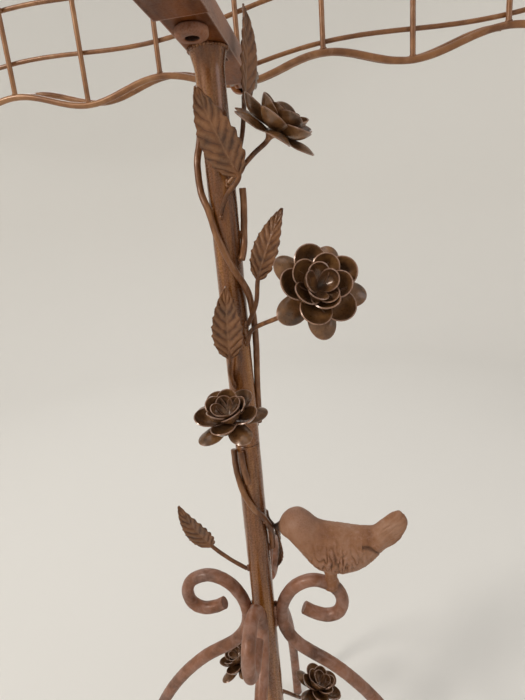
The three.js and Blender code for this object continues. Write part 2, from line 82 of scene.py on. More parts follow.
def evenly(path, spacing):
    steps = np.linalg.norm(np.diff(path, axis=0), axis=1)
    run = np.concatenate([[0], np.cumsum(steps)])
    stops = np.linspace(0, run[-1], max(2, int(run[-1] / spacing) + 1))
    return np.column_stack([np.interp(stops, run, path[:, i]) for i in range(3)])


def onPole(height, degrees, standoff):
    turn = math.radians(degrees)
    reach = poleRadius + standoff
    return np.array([reach * math.cos(turn), reach * math.sin(turn), height])


def wind(marks, spacing=1.2):
    return evenly(np.array([onPole(*mark) for mark in curveThrough(marks)]), spacing)


# Faces of a stack of rings that have the same number of points, and last the two faces that close its ends
def ringFaces(rows, sides):
    faces = []
    for i in range(rows - 1):
        for k in range(sides):
            n = (k + 1) % sides
            faces.append((i * sides + k, i * sides + n, (i + 1) * sides + n, (i + 1) * sides + k))
    return faces + [tuple(reversed(range(sides))), tuple(range((rows - 1) * sides, rows * sides))]


# Every builder below returns (points, faces, and a value for each point). The value runs from -1, dark paint
# and painted shade in hollows, to 1, rubbed pale, in places with painted highlight.
def sweep(path, radius, sides=20, chamfer=0.35, dents=0.0, dentSize=6.0, wearAndShading=0.0):
    path = np.array(path, float)
    count = len(path)
    radius = np.broadcast_to(np.array(radius, float), (count,)).copy()
    along = np.gradient(path, axis=0)
    along /= np.linalg.norm(along, axis=1)[:, None]
    side = np.cross(along[0], [0.31, 0.52, 0.8])
    side /= np.linalg.norm(side)
    rings = []
    for i in range(count):
        side = side - along[i] * side.dot(along[i])
        side /= np.linalg.norm(side)
        rings.append((path[i], radius[i], side.copy(), np.cross(along[i], side), along[i]))
    first, last = rings[0], rings[-1]
    rings[0] = (first[0] + first[4] * chamfer, *first[1:])
    rings[-1] = (last[0] - last[4] * chamfer, *last[1:])
    rings.insert(0, (first[0], first[1] - chamfer, *first[2:]))
    rings.append((last[0], last[1] - chamfer, *last[2:]))
    turns = 2 * np.pi * np.arange(sides) / sides
    points = []
    for middle, reach, right, up, _ in rings:
        for c, s in zip(np.cos(turns), np.sin(turns)):
            out = c * right + s * up
            here = middle + reach * out
            if dents:
                here = here + out * dents * noise.noise(Vector(here / dentSize))
            points.append(here)
    return np.array(points), ringFaces(len(rings), sides), np.full(len(points), wearAndShading)


def lathe(profile, sides=64, dents=0.0, dentSize=9.0):
    points = []
    turns = 2 * np.pi * np.arange(sides) / sides
    for reach, height in profile:
        for c, s in zip(np.cos(turns), np.sin(turns)):
            out = np.array([c, s, 0])
            here = np.array([reach * c, reach * s, height])
            if dents:
                here = here + out * dents * noise.noise(Vector(here / dentSize))
            points.append(here)
    faces = ringFaces(len(profile), sides)
    if profile[0] == profile[-1]:
        # the outline closes on itself, so its last ring is its first and there are no ends
        last = (len(profile) - 1) * sides
        faces = [tuple(v % last for v in f) for f in faces[:-2]]
        points = points[:last]
    return np.array(points), faces, np.zeros(len(points))


def gridNormals(grid, ringed=False):
    down = np.gradient(grid, axis=0)
    if ringed:
        over = np.roll(grid, -1, axis=1) - np.roll(grid, 1, axis=1)
    else:
        over = np.gradient(grid, axis=1)
    normal = np.cross(down, over)
    return normal / np.maximum(np.linalg.norm(normal, axis=2), 1e-9)[..., None]


# A closed thin shell round a grid of points
def sheet(grid, thickness, wearAndShading, ringed=False):
    rows, cols = grid.shape[:2]
    normal = gridNormals(grid, ringed)
    top = grid + normal * thickness / 2
    bottom = grid - normal * thickness / 2
    points = np.concatenate([top.reshape(-1, 3), bottom.reshape(-1, 3)])
    half = rows * cols
    faces = []
    lastCol = cols if ringed else cols - 1
    for r in range(rows - 1):
        for c in range(lastCol):
            n = (c + 1) % cols
            a, b, d, e = r * cols + c, r * cols + n, (r + 1) * cols + n, (r + 1) * cols + c
            faces.append((a, e, d, b))
            faces.append((half + a, half + b, half + d, half + e))
    if ringed:
        rim = [(rows - 1) * cols + c for c in range(cols)]
        for here, there in zip(rim, rim[1:] + rim[:1]):
            faces.append((here, half + here, half + there, there))
        hub = list(range(cols))
        faces.append(tuple(hub))
        faces.append(tuple(half + i for i in reversed(hub)))
    else:
        edge = list(range(cols)) + [r * cols + cols - 1 for r in range(1, rows)]
        edge += [(rows - 1) * cols + c for c in range(cols - 2, -1, -1)]
        edge += [r * cols for r in range(rows - 2, 0, -1)]
        for here, there in zip(edge, edge[1:] + edge[:1]):
            faces.append((here, there, half + there, half + here))
    return points, faces, np.concatenate([wearAndShading.ravel(), wearAndShading.ravel()])


def setLayer(mesh, name, values):
    layer = mesh.attributes.new(name, "FLOAT", "POINT")
    layer.data.foreach_set("value", np.asarray(values, np.float32))


def toMesh(name, parts):
    points, faces, wearAndShading, start = [], [], [], 0
    for p, f, w in parts:
        points.append(p)
        faces += [tuple(int(i) + start for i in face) for face in f]
        wearAndShading.append(w)
        start += len(p)
    mesh = bpy.data.meshes.new(name)
    mesh.from_pydata((np.concatenate(points) * mm).tolist(), [], faces)
    mesh.validate()
    setLayer(mesh, "wearAndShading", np.concatenate(wearAndShading))
    return mesh


# Puts a finished mesh in the scene
def settle(name, mesh, material, body, stands, sharp=40):
    mesh.shade_smooth()
    mesh.set_sharp_from_angle(angle=math.radians(sharp))
    mesh.materials.clear()
    mesh.materials.append(material)
    piece = bpy.data.objects.new(name, mesh)
    bpy.context.scene.collection.objects.link(piece)
    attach(piece, body)
    if stands:
        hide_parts(*stands)
    return piece


def addPiece(name, parts, material, body, slot, *stands, sharp=40):
    return settle(name, toMesh(name, parts), material, body, stands, sharp)


def addNode(tree, kind, inputs=None, stops=None, **settings):
    node = tree.nodes.new(kind)
    for key, value in settings.items():
        setattr(node, key, value)
    if stops:
        ramp = node.color_ramp
        while len(ramp.elements) < len(stops):
            ramp.elements.new(0.5)
        for element, (place, colour) in zip(ramp.elements, stops):
            element.position = place
            element.color = colour
    for key, value in (inputs or {}).items():
        socket = node.inputs[key]
        if isinstance(value, bpy.types.NodeSocket):
            tree.links.new(value, socket)
        else:
            socket.default_value = value
    return node


def hexColour(text):
    parts = [int(text[i:i + 2], 16) / 255 for i in (1, 3, 5)]
    return (*[c / 12.92 if c <= 0.04045 else ((c + 0.055) / 1.055) ** 2.4 for c in parts], 1.0)


# Where the dark, middle and light brown lie on the patch noise, how high the fullest bump stands and how
# rough the lacquer on top is
paintRange = {"stops": (0.36, 0.52, 0.68), "reliefMm": 0.4, "coatRoughness": 0.15}


# Brown paint, darkened with painted shade in its hollows, and a paler pinkish colour rubbed over it by hand,
# partly painted highlight on raised relief
def agedPaint(name, look):
    material = bpy.data.materials.new(name)
    material.use_nodes = True
    tree = material.node_tree
    tree.nodes.clear()

    def noiseAt(place, sizeMm, detail, distortion=0.0):
        return addNode(tree, "ShaderNodeTexNoise", {
            "Vector": place, "Scale": 1 / (sizeMm * mm), "Detail": detail, "Roughness": 0.6,
            "Distortion": distortion}).outputs[0]

    def ranged(value, low, high, toLow=0.0, toHigh=1.0):
        return addNode(tree, "ShaderNodeMapRange", {
            "Value": value, "From Min": low, "From Max": high, "To Min": toLow,
            "To Max": toHigh}).outputs[0]

    def sums(operation, first, second):
        return addNode(tree, "ShaderNodeMath", {0: first, 1: second}, operation=operation).outputs[0]

    def blend(share, first, second):
        return addNode(tree, "ShaderNodeMix", {0: share, 6: first, 7: second}, data_type="RGBA").outputs[2]

    place = addNode(tree, "ShaderNodeTexCoord").outputs["Object"]
    stretched = addNode(tree, "ShaderNodeMapping", {
        "Vector": place, "Scale": look.get("stretch", (1, 1, 1))}).outputs[0]
    patch = noiseAt(stretched, look["patchMm"], 4.0)
    streak = noiseAt(stretched, look["streakMm"], 4.0, 0.4)
    grain = noiseAt(place, look["grainMm"], 3.0)
    browns = [hexColour(look[tone]) for tone in ("dark", "base", "light")]
    stops = list(zip(paintRange["stops"], browns))
    base = addNode(tree, "ShaderNodeValToRGB", {"Fac": patch}, stops=stops).outputs[0]
    wearAndShading = addNode(tree, "ShaderNodeAttribute", attribute_name="wearAndShading").outputs["Fac"]
    # below zero the value blends in the darkest colour: painted shade in the leaf grooves, petal throats,
    # bolt socket and bird grooves, and dark paint on the bird's beak
    darkAndShadeShare = ranged(wearAndShading, 0.0, -1.0)
    darkAndShade = sums("MULTIPLY", darkAndShadeShare, ranged(grain, 0.2, 0.6, 0.7, 1.0))
    darkened = blend(darkAndShade, base, hexColour(look["darkAndShade"]))
    brushed = sums("MULTIPLY", ranged(streak, look["rubFrom"], look["rubTo"]), look["rub"])
    brushed = sums("MULTIPLY", brushed, ranged(wearAndShading, -0.5, 0.0))
    # above zero the value blends in the pale rub, which on the leaf ribs and the bird's raised relief is
    # partly painted highlight
    wornAndShaded = sums("MULTIPLY", ranged(wearAndShading, 0.0, 1.0), ranged(grain, 0.3, 0.55, 0.25, 1.0))
    colour = blend(sums("MAXIMUM", brushed, wornAndShaded), darkened, hexColour(look["rubColour"]))
    bump = addNode(tree, "ShaderNodeBump", {
        "Height": sums("ADD", grain, streak), "Strength": look["bump"],
        "Distance": paintRange["reliefMm"] * mm}).outputs[0]
    shader = addNode(tree, "ShaderNodeBsdfPrincipled", {
        "Base Color": colour, "Normal": bump, "Metallic": look["metallic"],
        "Roughness": ranged(grain, 0.25, 0.75, look["smooth"], look["rough"]),
        "Specular IOR Level": look.get("specular", 0.5),
        "Coat Weight": look["coat"], "Coat Roughness": paintRange["coatRoughness"]})
    addNode(tree, "ShaderNodeOutputMaterial", {"Surface": shader.outputs[0]})
    return material


# long brush streaks down the tube, satin enough for one narrow highlight
polePaint = agedPaint("streakedBrownPaint", {
    "dark": "#4c290f", "base": "#74441b", "light": "#946029", "darkAndShade": "#231209", "rubColour": "#a67a52",
    "rub": 0.4, "rubFrom": 0.55, "rubTo": 0.72, "stretch": (1, 1, 0.1), "patchMm": 9, "streakMm": 3,
    "grainMm": 1.4, "smooth": 0.22, "rough": 0.34, "bump": 0.12, "metallic": 0.2, "coat": 0.4})
# bent rod, hammered in places, with a dry pinkish rub in streaky patches
rodPaint = agedPaint("rubbedRodPaint", {
    "dark": "#5a351f", "base": "#7f5035", "light": "#946349", "darkAndShade": "#2e190e", "rubColour": "#b09084",
    "rub": 0.5, "rubFrom": 0.42, "rubTo": 0.76, "patchMm": 26, "streakMm": 9, "grainMm": 1.2,
    "smooth": 0.38, "rough": 0.56, "bump": 0.22, "metallic": 0.12, "coat": 0.08})
# the same brown on thinner rod, streaked along its length
vinePaint = agedPaint("wovenVinePaint", {
    "dark": "#4c2a12", "base": "#734621", "light": "#8f6036", "darkAndShade": "#25130a", "rubColour": "#a07a5f",
    "rub": 0.45, "rubFrom": 0.5, "rubTo": 0.72, "stretch": (1, 1, 0.3), "patchMm": 12, "streakMm": 3,
    "grainMm": 1.2, "smooth": 0.3, "rough": 0.48, "bump": 0.18, "metallic": 0.18, "coat": 0.2})
# olive-brown satin, small bright highlights, pale thin rims
petalPaint = agedPaint("petalOlivePaint", {
    "dark": "#4a3320", "base": "#6c4a2d", "light": "#87603a", "darkAndShade": "#1a0f09", "rubColour": "#b08c7a",
    "rub": 0.22, "rubFrom": 0.56, "rubTo": 0.78, "patchMm": 10, "streakMm": 4, "grainMm": 1.4,
    "smooth": 0.24, "rough": 0.4, "bump": 0.1, "metallic": 0.2, "coat": 0.35})
# stamped sheet, with painted shade in the vein grooves and paler on the pillowed ribs, partly rub and partly
# painted highlight
leafPaint = agedPaint("leafBrownPaint", {
    "dark": "#4a2a10", "base": "#673d1b", "light": "#7d4f29", "darkAndShade": "#2a160b", "rubColour": "#98714f",
    "rub": 0.25, "rubFrom": 0.52, "rubTo": 0.74, "patchMm": 12, "streakMm": 3, "grainMm": 1.1,
    "smooth": 0.38, "rough": 0.55, "bump": 0.15, "metallic": 0.12, "coat": 0.1})
# bright clean brown on the drawn wire
wirePaint = agedPaint("drawnWirePaint", {
    "dark": "#6f4526", "base": "#8a5c36", "light": "#9d7048", "darkAndShade": "#2e1a0e", "rubColour": "#b08a6c",
    "rub": 0.35, "rubFrom": 0.52, "rubTo": 0.74, "patchMm": 30, "streakMm": 8, "grainMm": 1.2,
    "smooth": 0.3, "rough": 0.46, "bump": 0.1, "metallic": 0.2, "coat": 0.2})
# pinkish grey rubbed over the brown, palest on the edges
bracketPaint = agedPaint("rubbedPinkPaint", {
    "dark": "#5a2f10", "base": "#7f4518", "light": "#935a2a", "darkAndShade": "#1c0d06", "rubColour": "#a88c80",
    "rub": 0.25, "rubFrom": 0.5, "rubTo": 0.7, "stretch": (1, 0.3, 1), "patchMm": 16, "streakMm": 5,
    "grainMm": 1.2, "smooth": 0.45, "rough": 0.62, "bump": 0.3, "metallic": 0.1, "coat": 0.0,
    "specular": 0.2})
# matt rough casting with a dusty pink bloom on head and back
birdPaint = agedPaint("castBirdPaint", {
    "dark": "#734626", "base": "#8b5d3c", "light": "#9a7258", "darkAndShade": "#24150d", "rubColour": "#a98574",
    "rub": 0.45, "rubFrom": 0.48, "rubTo": 0.74, "patchMm": 22, "streakMm": 3, "grainMm": 1.3,
    "smooth": 0.5, "rough": 0.68, "bump": 0.6, "metallic": 0.05, "coat": 0.0})
# dull zinc on the turned fittings
boltZinc = agedPaint("tarnishedZinc", {
    "dark": "#5b524b", "base": "#8b8078", "light": "#a89d94", "darkAndShade": "#2b2622", "rubColour": "#c4bab2",
    "rub": 0.4, "rubFrom": 0.5, "rubTo": 0.7, "patchMm": 5, "streakMm": 2, "grainMm": 0.8, "smooth": 0.3,
    "rough": 0.5, "bump": 0.12, "metallic": 0.9, "coat": 0.0})
print("materials made")


# The tube's wall, its flared and rounded top, the gap to what is welded on and its dents. Centre is how near
# to the axis its floor starts
pole = {"wall": 1.5, "flare": 3, "flareHeight": 14, "flareCurve": 1.6, "lip": 0.4, "rounding": 0.5,
        "gap": 0.3, "sides": 72, "dents": 0.14, "centre": 0.3}


def poleProfile(low, high, flare):
    inner = poleRadius - pole["wall"]
    rounding = pole["rounding"]
    heights = np.linspace(low + rounding, high - rounding - (pole["flareHeight"] if flare else 0), 90)
    outside = [(poleRadius - rounding, low)] + [(poleRadius, h) for h in heights]
    if flare:
        for t in np.linspace(0, 1, 9)[1:]:
            reach = poleRadius + pole["flare"] * t ** pole["flareCurve"]
            outside.append((reach, heights[-1] + t * pole["flareHeight"]))
    outside.append((poleRadius - pole["lip"] + (pole["flare"] if flare else 0), high))
    return outside, inner


def buildPole():
    low = jointHeight + pole["gap"]
    outside, inner = poleProfile(low, poleTop, True)
    inside = [(inner, poleTop), (inner, low)]
    upper = lathe(outside + inside + [outside[0]], pole["sides"], dents=pole["dents"])
    addPiece("upperPole", [upper], polePaint, "mast", "brown_paint", "upper_pole")
    outside, inner = poleProfile(poleFoot, jointHeight, False)
    floor = poleFoot + pole["wall"]
    inside = [(inner, jointHeight), (inner, floor), (pole["centre"], floor)]
    lower = lathe([(pole["centre"], poleFoot)] + outside + inside, pole["sides"], dents=pole["dents"])
    addPiece("lowerPole", [lower], polePaint, "base", "brown_paint", "lower_pole")


buildPole()
print("pole built")

legShape = {
    # the scroll, from its free end inwards: reach from the tube and height from the junction
    "marks": [
        (20.5, -5), (30, -10), (42, -12), (51.5, -7), (55, 5.5), (49.5, 18), (31.7, 25), (15, 18),
        (4, 3), (0, -14), (2.5, -30), (12.7, -46)],
    "footReach": 150, "footTrim": 2,
    "sweepReach": 0.85, "sweepDrop": 0.24, "sweepKnee": 0.35,
    "dents": 0.2, "dentSize": 4.5, "inset": 0.1,
}


def legPath():
    out = poleRadius + legRadius + pole["gap"]
    marks = [np.array([out + a, 0, junctionHeight + b]) for a, b in legShape["marks"]]
    start = marks[-1]
    foot = np.array([legShape["footReach"], 0, -legShape["footTrim"]])
    span, drop = foot[0] - start[0], start[2] - foot[2]
    second = start + [legShape["sweepReach"] * span, 0, -legShape["sweepDrop"] * drop]
    third = foot + [0, 0, legShape["sweepKnee"] * drop]
    for t in np.arange(1, 9) / 8:
        marks.append((1 - t)**3 * start + 3 * t * (1 - t)**2 * second
                     + 3 * t * t * (1 - t) * third + t**3 * foot)
    path = evenly(curveThrough(marks), 1.6)
    return np.vstack([path[path[:, 2] > 1], [[legShape["footReach"], 0, 0]]])


def buildLegs():
    path = legPath()
    for i, side in enumerate(["right", "back", "left", "front"]):
        turn = np.array(Matrix.Rotation(i * math.pi / 2, 3, "Z"))
        points, faces, wearAndShading = sweep(path @ turn.T, legRadius - legShape["inset"], 24, chamfer=0.5,
                                    dents=legShape["dents"], dentSize=legShape["dentSize"])
        points[:, 2] = np.maximum(points[:, 2], 0)
        name = "leg" + side.capitalize()
        addPiece(name, [(points, faces, wearAndShading)], rodPaint, "base", "brown_paint", "leg_" + side)


buildLegs()
print("legs built")

vineShape = {"radius": 2.5, "seat": 2.8, "dents": 0.18, "dentSize": 5}
# body, node, height of its group, and marks: height, angle from +X, extra distance off the pole
vines = {
    "lowerVineLong": ("base", "lower_vine_long", jointHeight, [
        (-2, -140, 0), (-18, -132, 0.8), (-36, -117, 0), (-52, -82, 0), (-70, -30, 0), (-84, -6, 0.8),
        (-102, 8, 0)]),
    "lowerVineShort": ("base", "lower_vine_short", jointHeight, [
        (-2, -104, 0), (-16, -98, 0.6), (-30, -88, 0)]),
    "vineLong": ("mast", "vine_long", jointHeight, [
        (240, -205, 0), (229, -188, 0), (214, -170, 2.4), (197, -158, 2.2), (181, -130, 0), (166, -110, 0),
        (142, -66, 0), (117, -12, 1.4), (85, 10, 1.6), (50, 24, 0), (14, 42, 0)]),
    "vineSide": ("mast", "vine_side", jointHeight, [
        (196, 2, 2), (184, 8, 1.6), (164, 4, 0), (147, -32, 0)]),
}


def buildVines():
    for name, (body, node, base, marks) in vines.items():
        path = wind([(base + h, a, vineShape["seat"] + s) for h, a, s in marks])
        vine = sweep(path, vineShape["radius"], 16, dents=vineShape["dents"],
                     dentSize=vineShape["dentSize"])
        addPiece(name, [vine], vinePaint, body, "brown_paint", node)


buildVines()
print("vines built")

leafShape = {
    "rows": 110, "cols": 29, "thickness": 0.9, "fold": 2.5, "warp": 0.9, "broadLow": 0.72, "blunt": 0.8,
    "teeth": 8, "toothDepth": 0.12, "toothLean": 0.75,
    "veinSweep": 0.2, "veinCurve": 1.2, "pillow": 0.7, "relief": 1.0, "midrib": 0.7, "midribWidth": 0.9,
    "stemRadius": 1.7, "stemDents": 0.12,
}
stemSeat = leafShape["stemRadius"] + pole["gap"]
# body, node, height of its group, blade from and to, the way it faces, width, arch, stem. Places are height
# along the pole, angle from +X and distance off the pole's surface.
leaves = {
    "leafTop": ("mast", "leaf_top", jointHeight,
        (250, 40.7, 13.8), (312, 35.1, 18.7), (0.97, -0.25, 0), 24, 2,
        [(232, 35, 9.4), (218, 20, stemSeat + 2), (204, 12, stemSeat)]),
    "leafMastFront": ("mast", "leaf_mast_front", jointHeight,
        (202, -48.2, 15.5), (254, -93.4, 24.1), (-0.25, -0.95, -0.15), 29, 2,
        [(190, -68, stemSeat + 3.5), (179, -90, stemSeat)]),
    "leafSide": ("mast", "leaf_side", jointHeight,
        (132, -12.1, 11.5), (180, -4.1, 32.1), (-0.35, -0.9, 0.1), 22, 2,
        [(115, -18, 9.4), (99, -27, stemSeat)]),
    "leafLowFront": ("mast", "leaf_low_front", jointHeight,
        (78, -94.1, 11.1), (131, -87.4, 12), (0, -1, 0.05), 24, 2,
        [(66, -110, stemSeat + 2), (54, -108, stemSeat)]),
    "lowerLeafLeft": ("base", "lower_leaf_left", jointHeight,
        (-92, -162.3, 29.4), (-48, -161.3, 52.3), (0, -1, -0.1), 22, 2,
        [(-107, -159.4, 15.6), (-119, -150, stemSeat)]),
    "lowerLeafRight": ("base", "lower_leaf_right", jointHeight,
        (-88, 23, 7.9), (-128, 32, 7.1), (1, 0.2, 0), 15, 1.5,
        [(-78, 42, stemSeat + 1), (-70, 44, stemSeat)]),
}


def seatAt(lift, place):
    return onPole(place[0] + lift, place[1], place[2])


def leafBlade(length, width, arch):
    rows, cols, fold = leafShape["rows"], leafShape["cols"], leafShape["fold"]
    along = np.linspace(0, 1, rows)[:, None]
    across = np.linspace(-1, 1, cols)[None, :]
    outline = np.sin(np.pi * np.clip(along, 0.002, 0.998) ** leafShape["broadLow"]) ** leafShape["blunt"]
    saw = (along * leafShape["teeth"]) % 1
    lean, depth = leafShape["toothLean"], leafShape["toothDepth"]
    tooth = 1 - depth + depth * np.minimum(saw / lean, (1 - saw) / (1 - lean))
    half = np.maximum(width / 2 * outline * tooth, 0.5)
    x = across * half
    vein = leafShape["teeth"] * (along - leafShape["veinSweep"] * np.abs(across) ** leafShape["veinCurve"])
    pillow = np.abs(np.sin(np.pi * vein)) ** leafShape["pillow"]
    # no pillows on the margin's ends or on the midrib, and the midrib fades towards the tip
    inBlade = np.clip(outline * 2.2, 0, 1) * np.clip(np.abs(across) * 5, 0, 1)
    rib = np.exp(-(x / leafShape["midribWidth"]) ** 2) * np.clip((1 - along) * 3, 0, 1)
    relief = leafShape["relief"] * pillow * inBlade + leafShape["midrib"] * rib
    y = fold * np.abs(across) * outline + arch * np.sin(np.pi * along) + relief - 0.5 * leafShape["relief"]
    y = y + leafShape["warp"] * np.sin(5.1 * along + 2.3 * across) * np.abs(across)
    grid = np.stack([x + 0 * along, y, along * length + 0 * across], axis=2)
    # painted shade darkens the grooves between the pillows; the pillows and the midrib are paler, partly rub
    # and partly painted highlight
    valley = np.clip(1 - pillow * 1.9, 0, 1) * inBlade * (1 - rib)
    wearAndShading = 0.55 * np.clip(rib * 0.8 + (pillow - 0.7) * 2.2 * inBlade, 0, 1) - 0.9 * valley
    return grid, wearAndShading


def leafStem(base, tip, stem):
    inside = base + 0.12 * (tip - base)
    path = evenly(curveThrough([inside, base] + list(stem)), 1.2)
    return sweep(path, leafShape["stemRadius"], 12, dents=leafShape["stemDents"])


def buildLeaves():
    for name, (body, node, lift, base, tip, face, width, arch, stem) in leaves.items():
        base, tip = seatAt(lift, base), seatAt(lift, tip)
        length = np.linalg.norm(tip - base)
        z = (tip - base) / length
        x = np.cross(face, z)
        x /= np.linalg.norm(x)
        y = np.cross(z, x)
        grid, wearAndShading = leafBlade(length, width, arch)
        placed = grid[..., :1] * x + grid[..., 1:2] * y + grid[..., 2:] * z + base
        stalk = leafStem(base, tip, [seatAt(lift, mark) for mark in stem])
        blade = sheet(placed, leafShape["thickness"], wearAndShading)
        addPiece(name, [blade, stalk], leafPaint, body, "leaf_paint", node, sharp=55)


buildLeaves()
print("leaves built")


# An empty tree that takes a mesh and the named inputs, and gives a mesh back
def growTree(name, inputs):
    tree = bpy.data.node_groups.new(name, "GeometryNodeTree")
    for label, kind in {"Geometry": "Geometry", **inputs}.items():
        tree.interface.new_socket(label, in_out="INPUT", socket_type="NodeSocket" + kind)
    tree.interface.new_socket("Geometry", in_out="OUTPUT", socket_type="NodeSocketGeometry")
    return tree, addNode(tree, "NodeGroupInput").outputs


# Paints the copies and hands them on
def paintCopies(tree, geometry, finish):
    coated = addNode(tree, "GeometryNodeSetMaterial", {"Geometry": geometry, "Material": finish}).outputs[0]
    addNode(tree, "NodeGroupOutput", {"Geometry": coated})


# Petals round a point: each takes its share of the turn, leans by Tilt and is shaken by up to Wobble
def petalRingTree():
    tree, given = growTree("petalRing", {"Petals": "Int", "Tilt": "Float", "Turn": "Float",
                                         "Wobble": "Float", "Seed": "Int", "Finish": "Material"})

    def maths(operation, *values):
        return addNode(tree, "ShaderNodeMath", dict(enumerate(values)), operation=operation).outputs[0]

    index = addNode(tree, "GeometryNodeInputIndex").outputs[0]
    step = maths("DIVIDE", 2 * math.pi, given["Petals"])
    angle = maths("MULTIPLY_ADD", index, step, given["Turn"])
    low = maths("MULTIPLY", given["Wobble"], -1.0)
    jitter = addNode(tree, "FunctionNodeRandomValue", {"Seed": given["Seed"]}, data_type="FLOAT_VECTOR")
    tree.links.new(low, jitter.inputs[0])
    tree.links.new(given["Wobble"], jitter.inputs[1])
    lean = maths("MULTIPLY", given["Tilt"], -1.0)
    turn = addNode(tree, "ShaderNodeCombineXYZ", {"Y": lean, "Z": angle}).outputs[0]
    shaken = addNode(tree, "ShaderNodeVectorMath", {0: turn, 1: jitter.outputs[0]},
                     operation="ADD").outputs[0]
    points = addNode(tree, "GeometryNodePoints", {"Count": given["Petals"]}).outputs[0]
    grow = addNode(tree, "GeometryNodeInstanceOnPoints", {
        "Points": points, "Instance": given["Geometry"], "Rotation": shaken}).outputs[0]
    solid = addNode(tree, "GeometryNodeRealizeInstances", {"Geometry": grow}).outputs[0]
    paintCopies(tree, solid, given["Finish"])
    return tree


# Runs a node tree on a mesh and gives back the mesh that comes out
def grown(mesh, tree, values):
    source = bpy.data.objects.new("source", mesh)
    bpy.context.scene.collection.objects.link(source)
    modifier = source.modifiers.new("grow", "NODES")
    modifier.node_group = tree
    for item in tree.interface.items_tree:
        if item.in_out == "INPUT" and item.name in values:
            modifier[item.identifier] = values[item.name]
    bpy.context.view_layer.update()
    evaluated = source.evaluated_get(bpy.context.evaluated_depsgraph_get())
    result = bpy.data.meshes.new_from_object(evaluated)
    source.modifiers.remove(modifier)
    bpy.data.objects.remove(source)
    return result


petalRing = petalRingTree()

# One entry a row of petals, in shares of the bloom's radius: petal length and width, how deep it cups (below
# 0 it domes), how it rises, how far its tip curls. Then how many there are, their start above the seat in
# millimetres, and their turn in shares of a petal
tiers = {
    "outer": [{"length": 1.0, "width": 0.56, "cup": -0.12, "tilt": 0.15, "curl": -0.02,
               "petals": 5, "lift": 0.8, "turn": 0.2}],
    "middle": [{"length": 0.88, "width": 0.64, "cup": 0.2, "tilt": 0.17, "curl": 0.04,
                "petals": 5, "lift": 1.5, "turn": 0.72},
               {"length": 0.72, "width": 0.54, "cup": 0.19, "tilt": 0.45, "curl": 0.03,
                "petals": 5, "lift": 2.6, "turn": 0.25}],
    "inner": [{"length": 0.56, "width": 0.42, "cup": 0.17, "tilt": 0.6, "curl": 0.0,
               "petals": 5, "lift": 3.6, "turn": 0.6}],
}
petalShape = {
    "thickness": 0.8, "rings": 14, "segments": 40, "hub": 0.04, "broad": 0.62, "waist": 0.35,
    "bowlCurve": 2.2, "bowlFade": 0.8,
    "wobble": 0.13, "rim": 0.95, "rimWidth": 0.05, "rub": 0.55, "shadedThroat": 0.35, "throatShade": 0.7,
    "stemFlare": 2.3, "stemFlareLength": 2.6, "stemTop": 0.4, "stemStraight": 6,
}


def petalMesh(radius, look):
    length, width = radius * look["length"], radius * look["width"]
    reach = np.linspace(petalShape["hub"], 1, petalShape["rings"])[:, None] ** 0.8
    turn = np.linspace(0, 2 * np.pi, petalShape["segments"], endpoint=False)[None, :]
    middle = petalShape["broad"] * length
    ahead = np.cos(turn)
    s = middle + reach * ahead * np.where(ahead < 0, middle, length - middle)
    narrow = np.where(ahead < 0, 1 - petalShape["waist"] * ahead**2, 1)
    t = reach * np.sin(turn) * width / 2 * narrow
    bowl = radius * look["cup"] * reach ** petalShape["bowlCurve"]
    bowl = np.where(ahead < 0, bowl * (1 - petalShape["bowlFade"] * np.abs(ahead)), bowl)
    curl = radius * look["curl"] * (s / length) ** 3
    grid = np.stack([s, t + 0 * s, bowl + curl + 0 * s], axis=2)
    rim = np.clip((reach - petalShape["rim"]) / petalShape["rimWidth"], 0, 1) * petalShape["rub"]
    # painted shade darkens each petal's throat near its base, except on the worn pale rim
    shadedThroat = np.clip(1 - s / (petalShape["shadedThroat"] * length), 0, 1) * petalShape["throatShade"]
    wearAndShading = rim - shadedThroat * (rim < 0.1)
    return toMesh("petal", [sheet(grid, petalShape["thickness"], wearAndShading, ringed=True)])


def facing(axis, roll):
    up = Vector(axis).normalized()
    side = Vector((0, 1, 0)).cross(up).normalized()
    back = up.cross(side)
    turn = Matrix((side, back, up)).transposed()
    return turn @ Matrix.Rotation(roll, 3, "Z")


# body, node, height of its group, place, the way it faces, radius, roll, stem
roses = {
    "roseTop": ("mast", "rose_top", jointHeight,
        (227, -14.4, 30.3), (0.62, -0.12, 0.78), 31, 0,
        [(216, -22.2, 19.2), (199, -52, stemSeat)]),
    "roseMiddle": ("mast", "rose_middle", jointHeight,
        (127, -32, 65.5), (0.3, -0.86, 0.42), 32, 0.3,
        [(110, -31.8, 39.4), (95, -33, stemSeat + 4), (86, -36, stemSeat)]),
    "roseLow": ("mast", "rose_low", jointHeight,
        (36, -93.9, 27.1), (0, -0.42, 0.9), 28, 0,
        [(22, -94.4, 16.1), (14, -90, stemSeat)]),
    "baseRoseRight": ("base", "base_rose_right", junctionHeight,
        (-148, 42, 43.8), (0.35, 0.1, 0.9), 26, 0,
        [(-150, 45, 29.6), (-118, 45, stemSeat)]),
    "baseRoseLeft": ("base", "base_rose_left", junctionHeight,
        (-108, 144.2, 34.4), (-0.4, 0.1, 0.9), 24, 0,
        [(-116, 142.4, 22.8), (-100, 140, stemSeat)]),
}


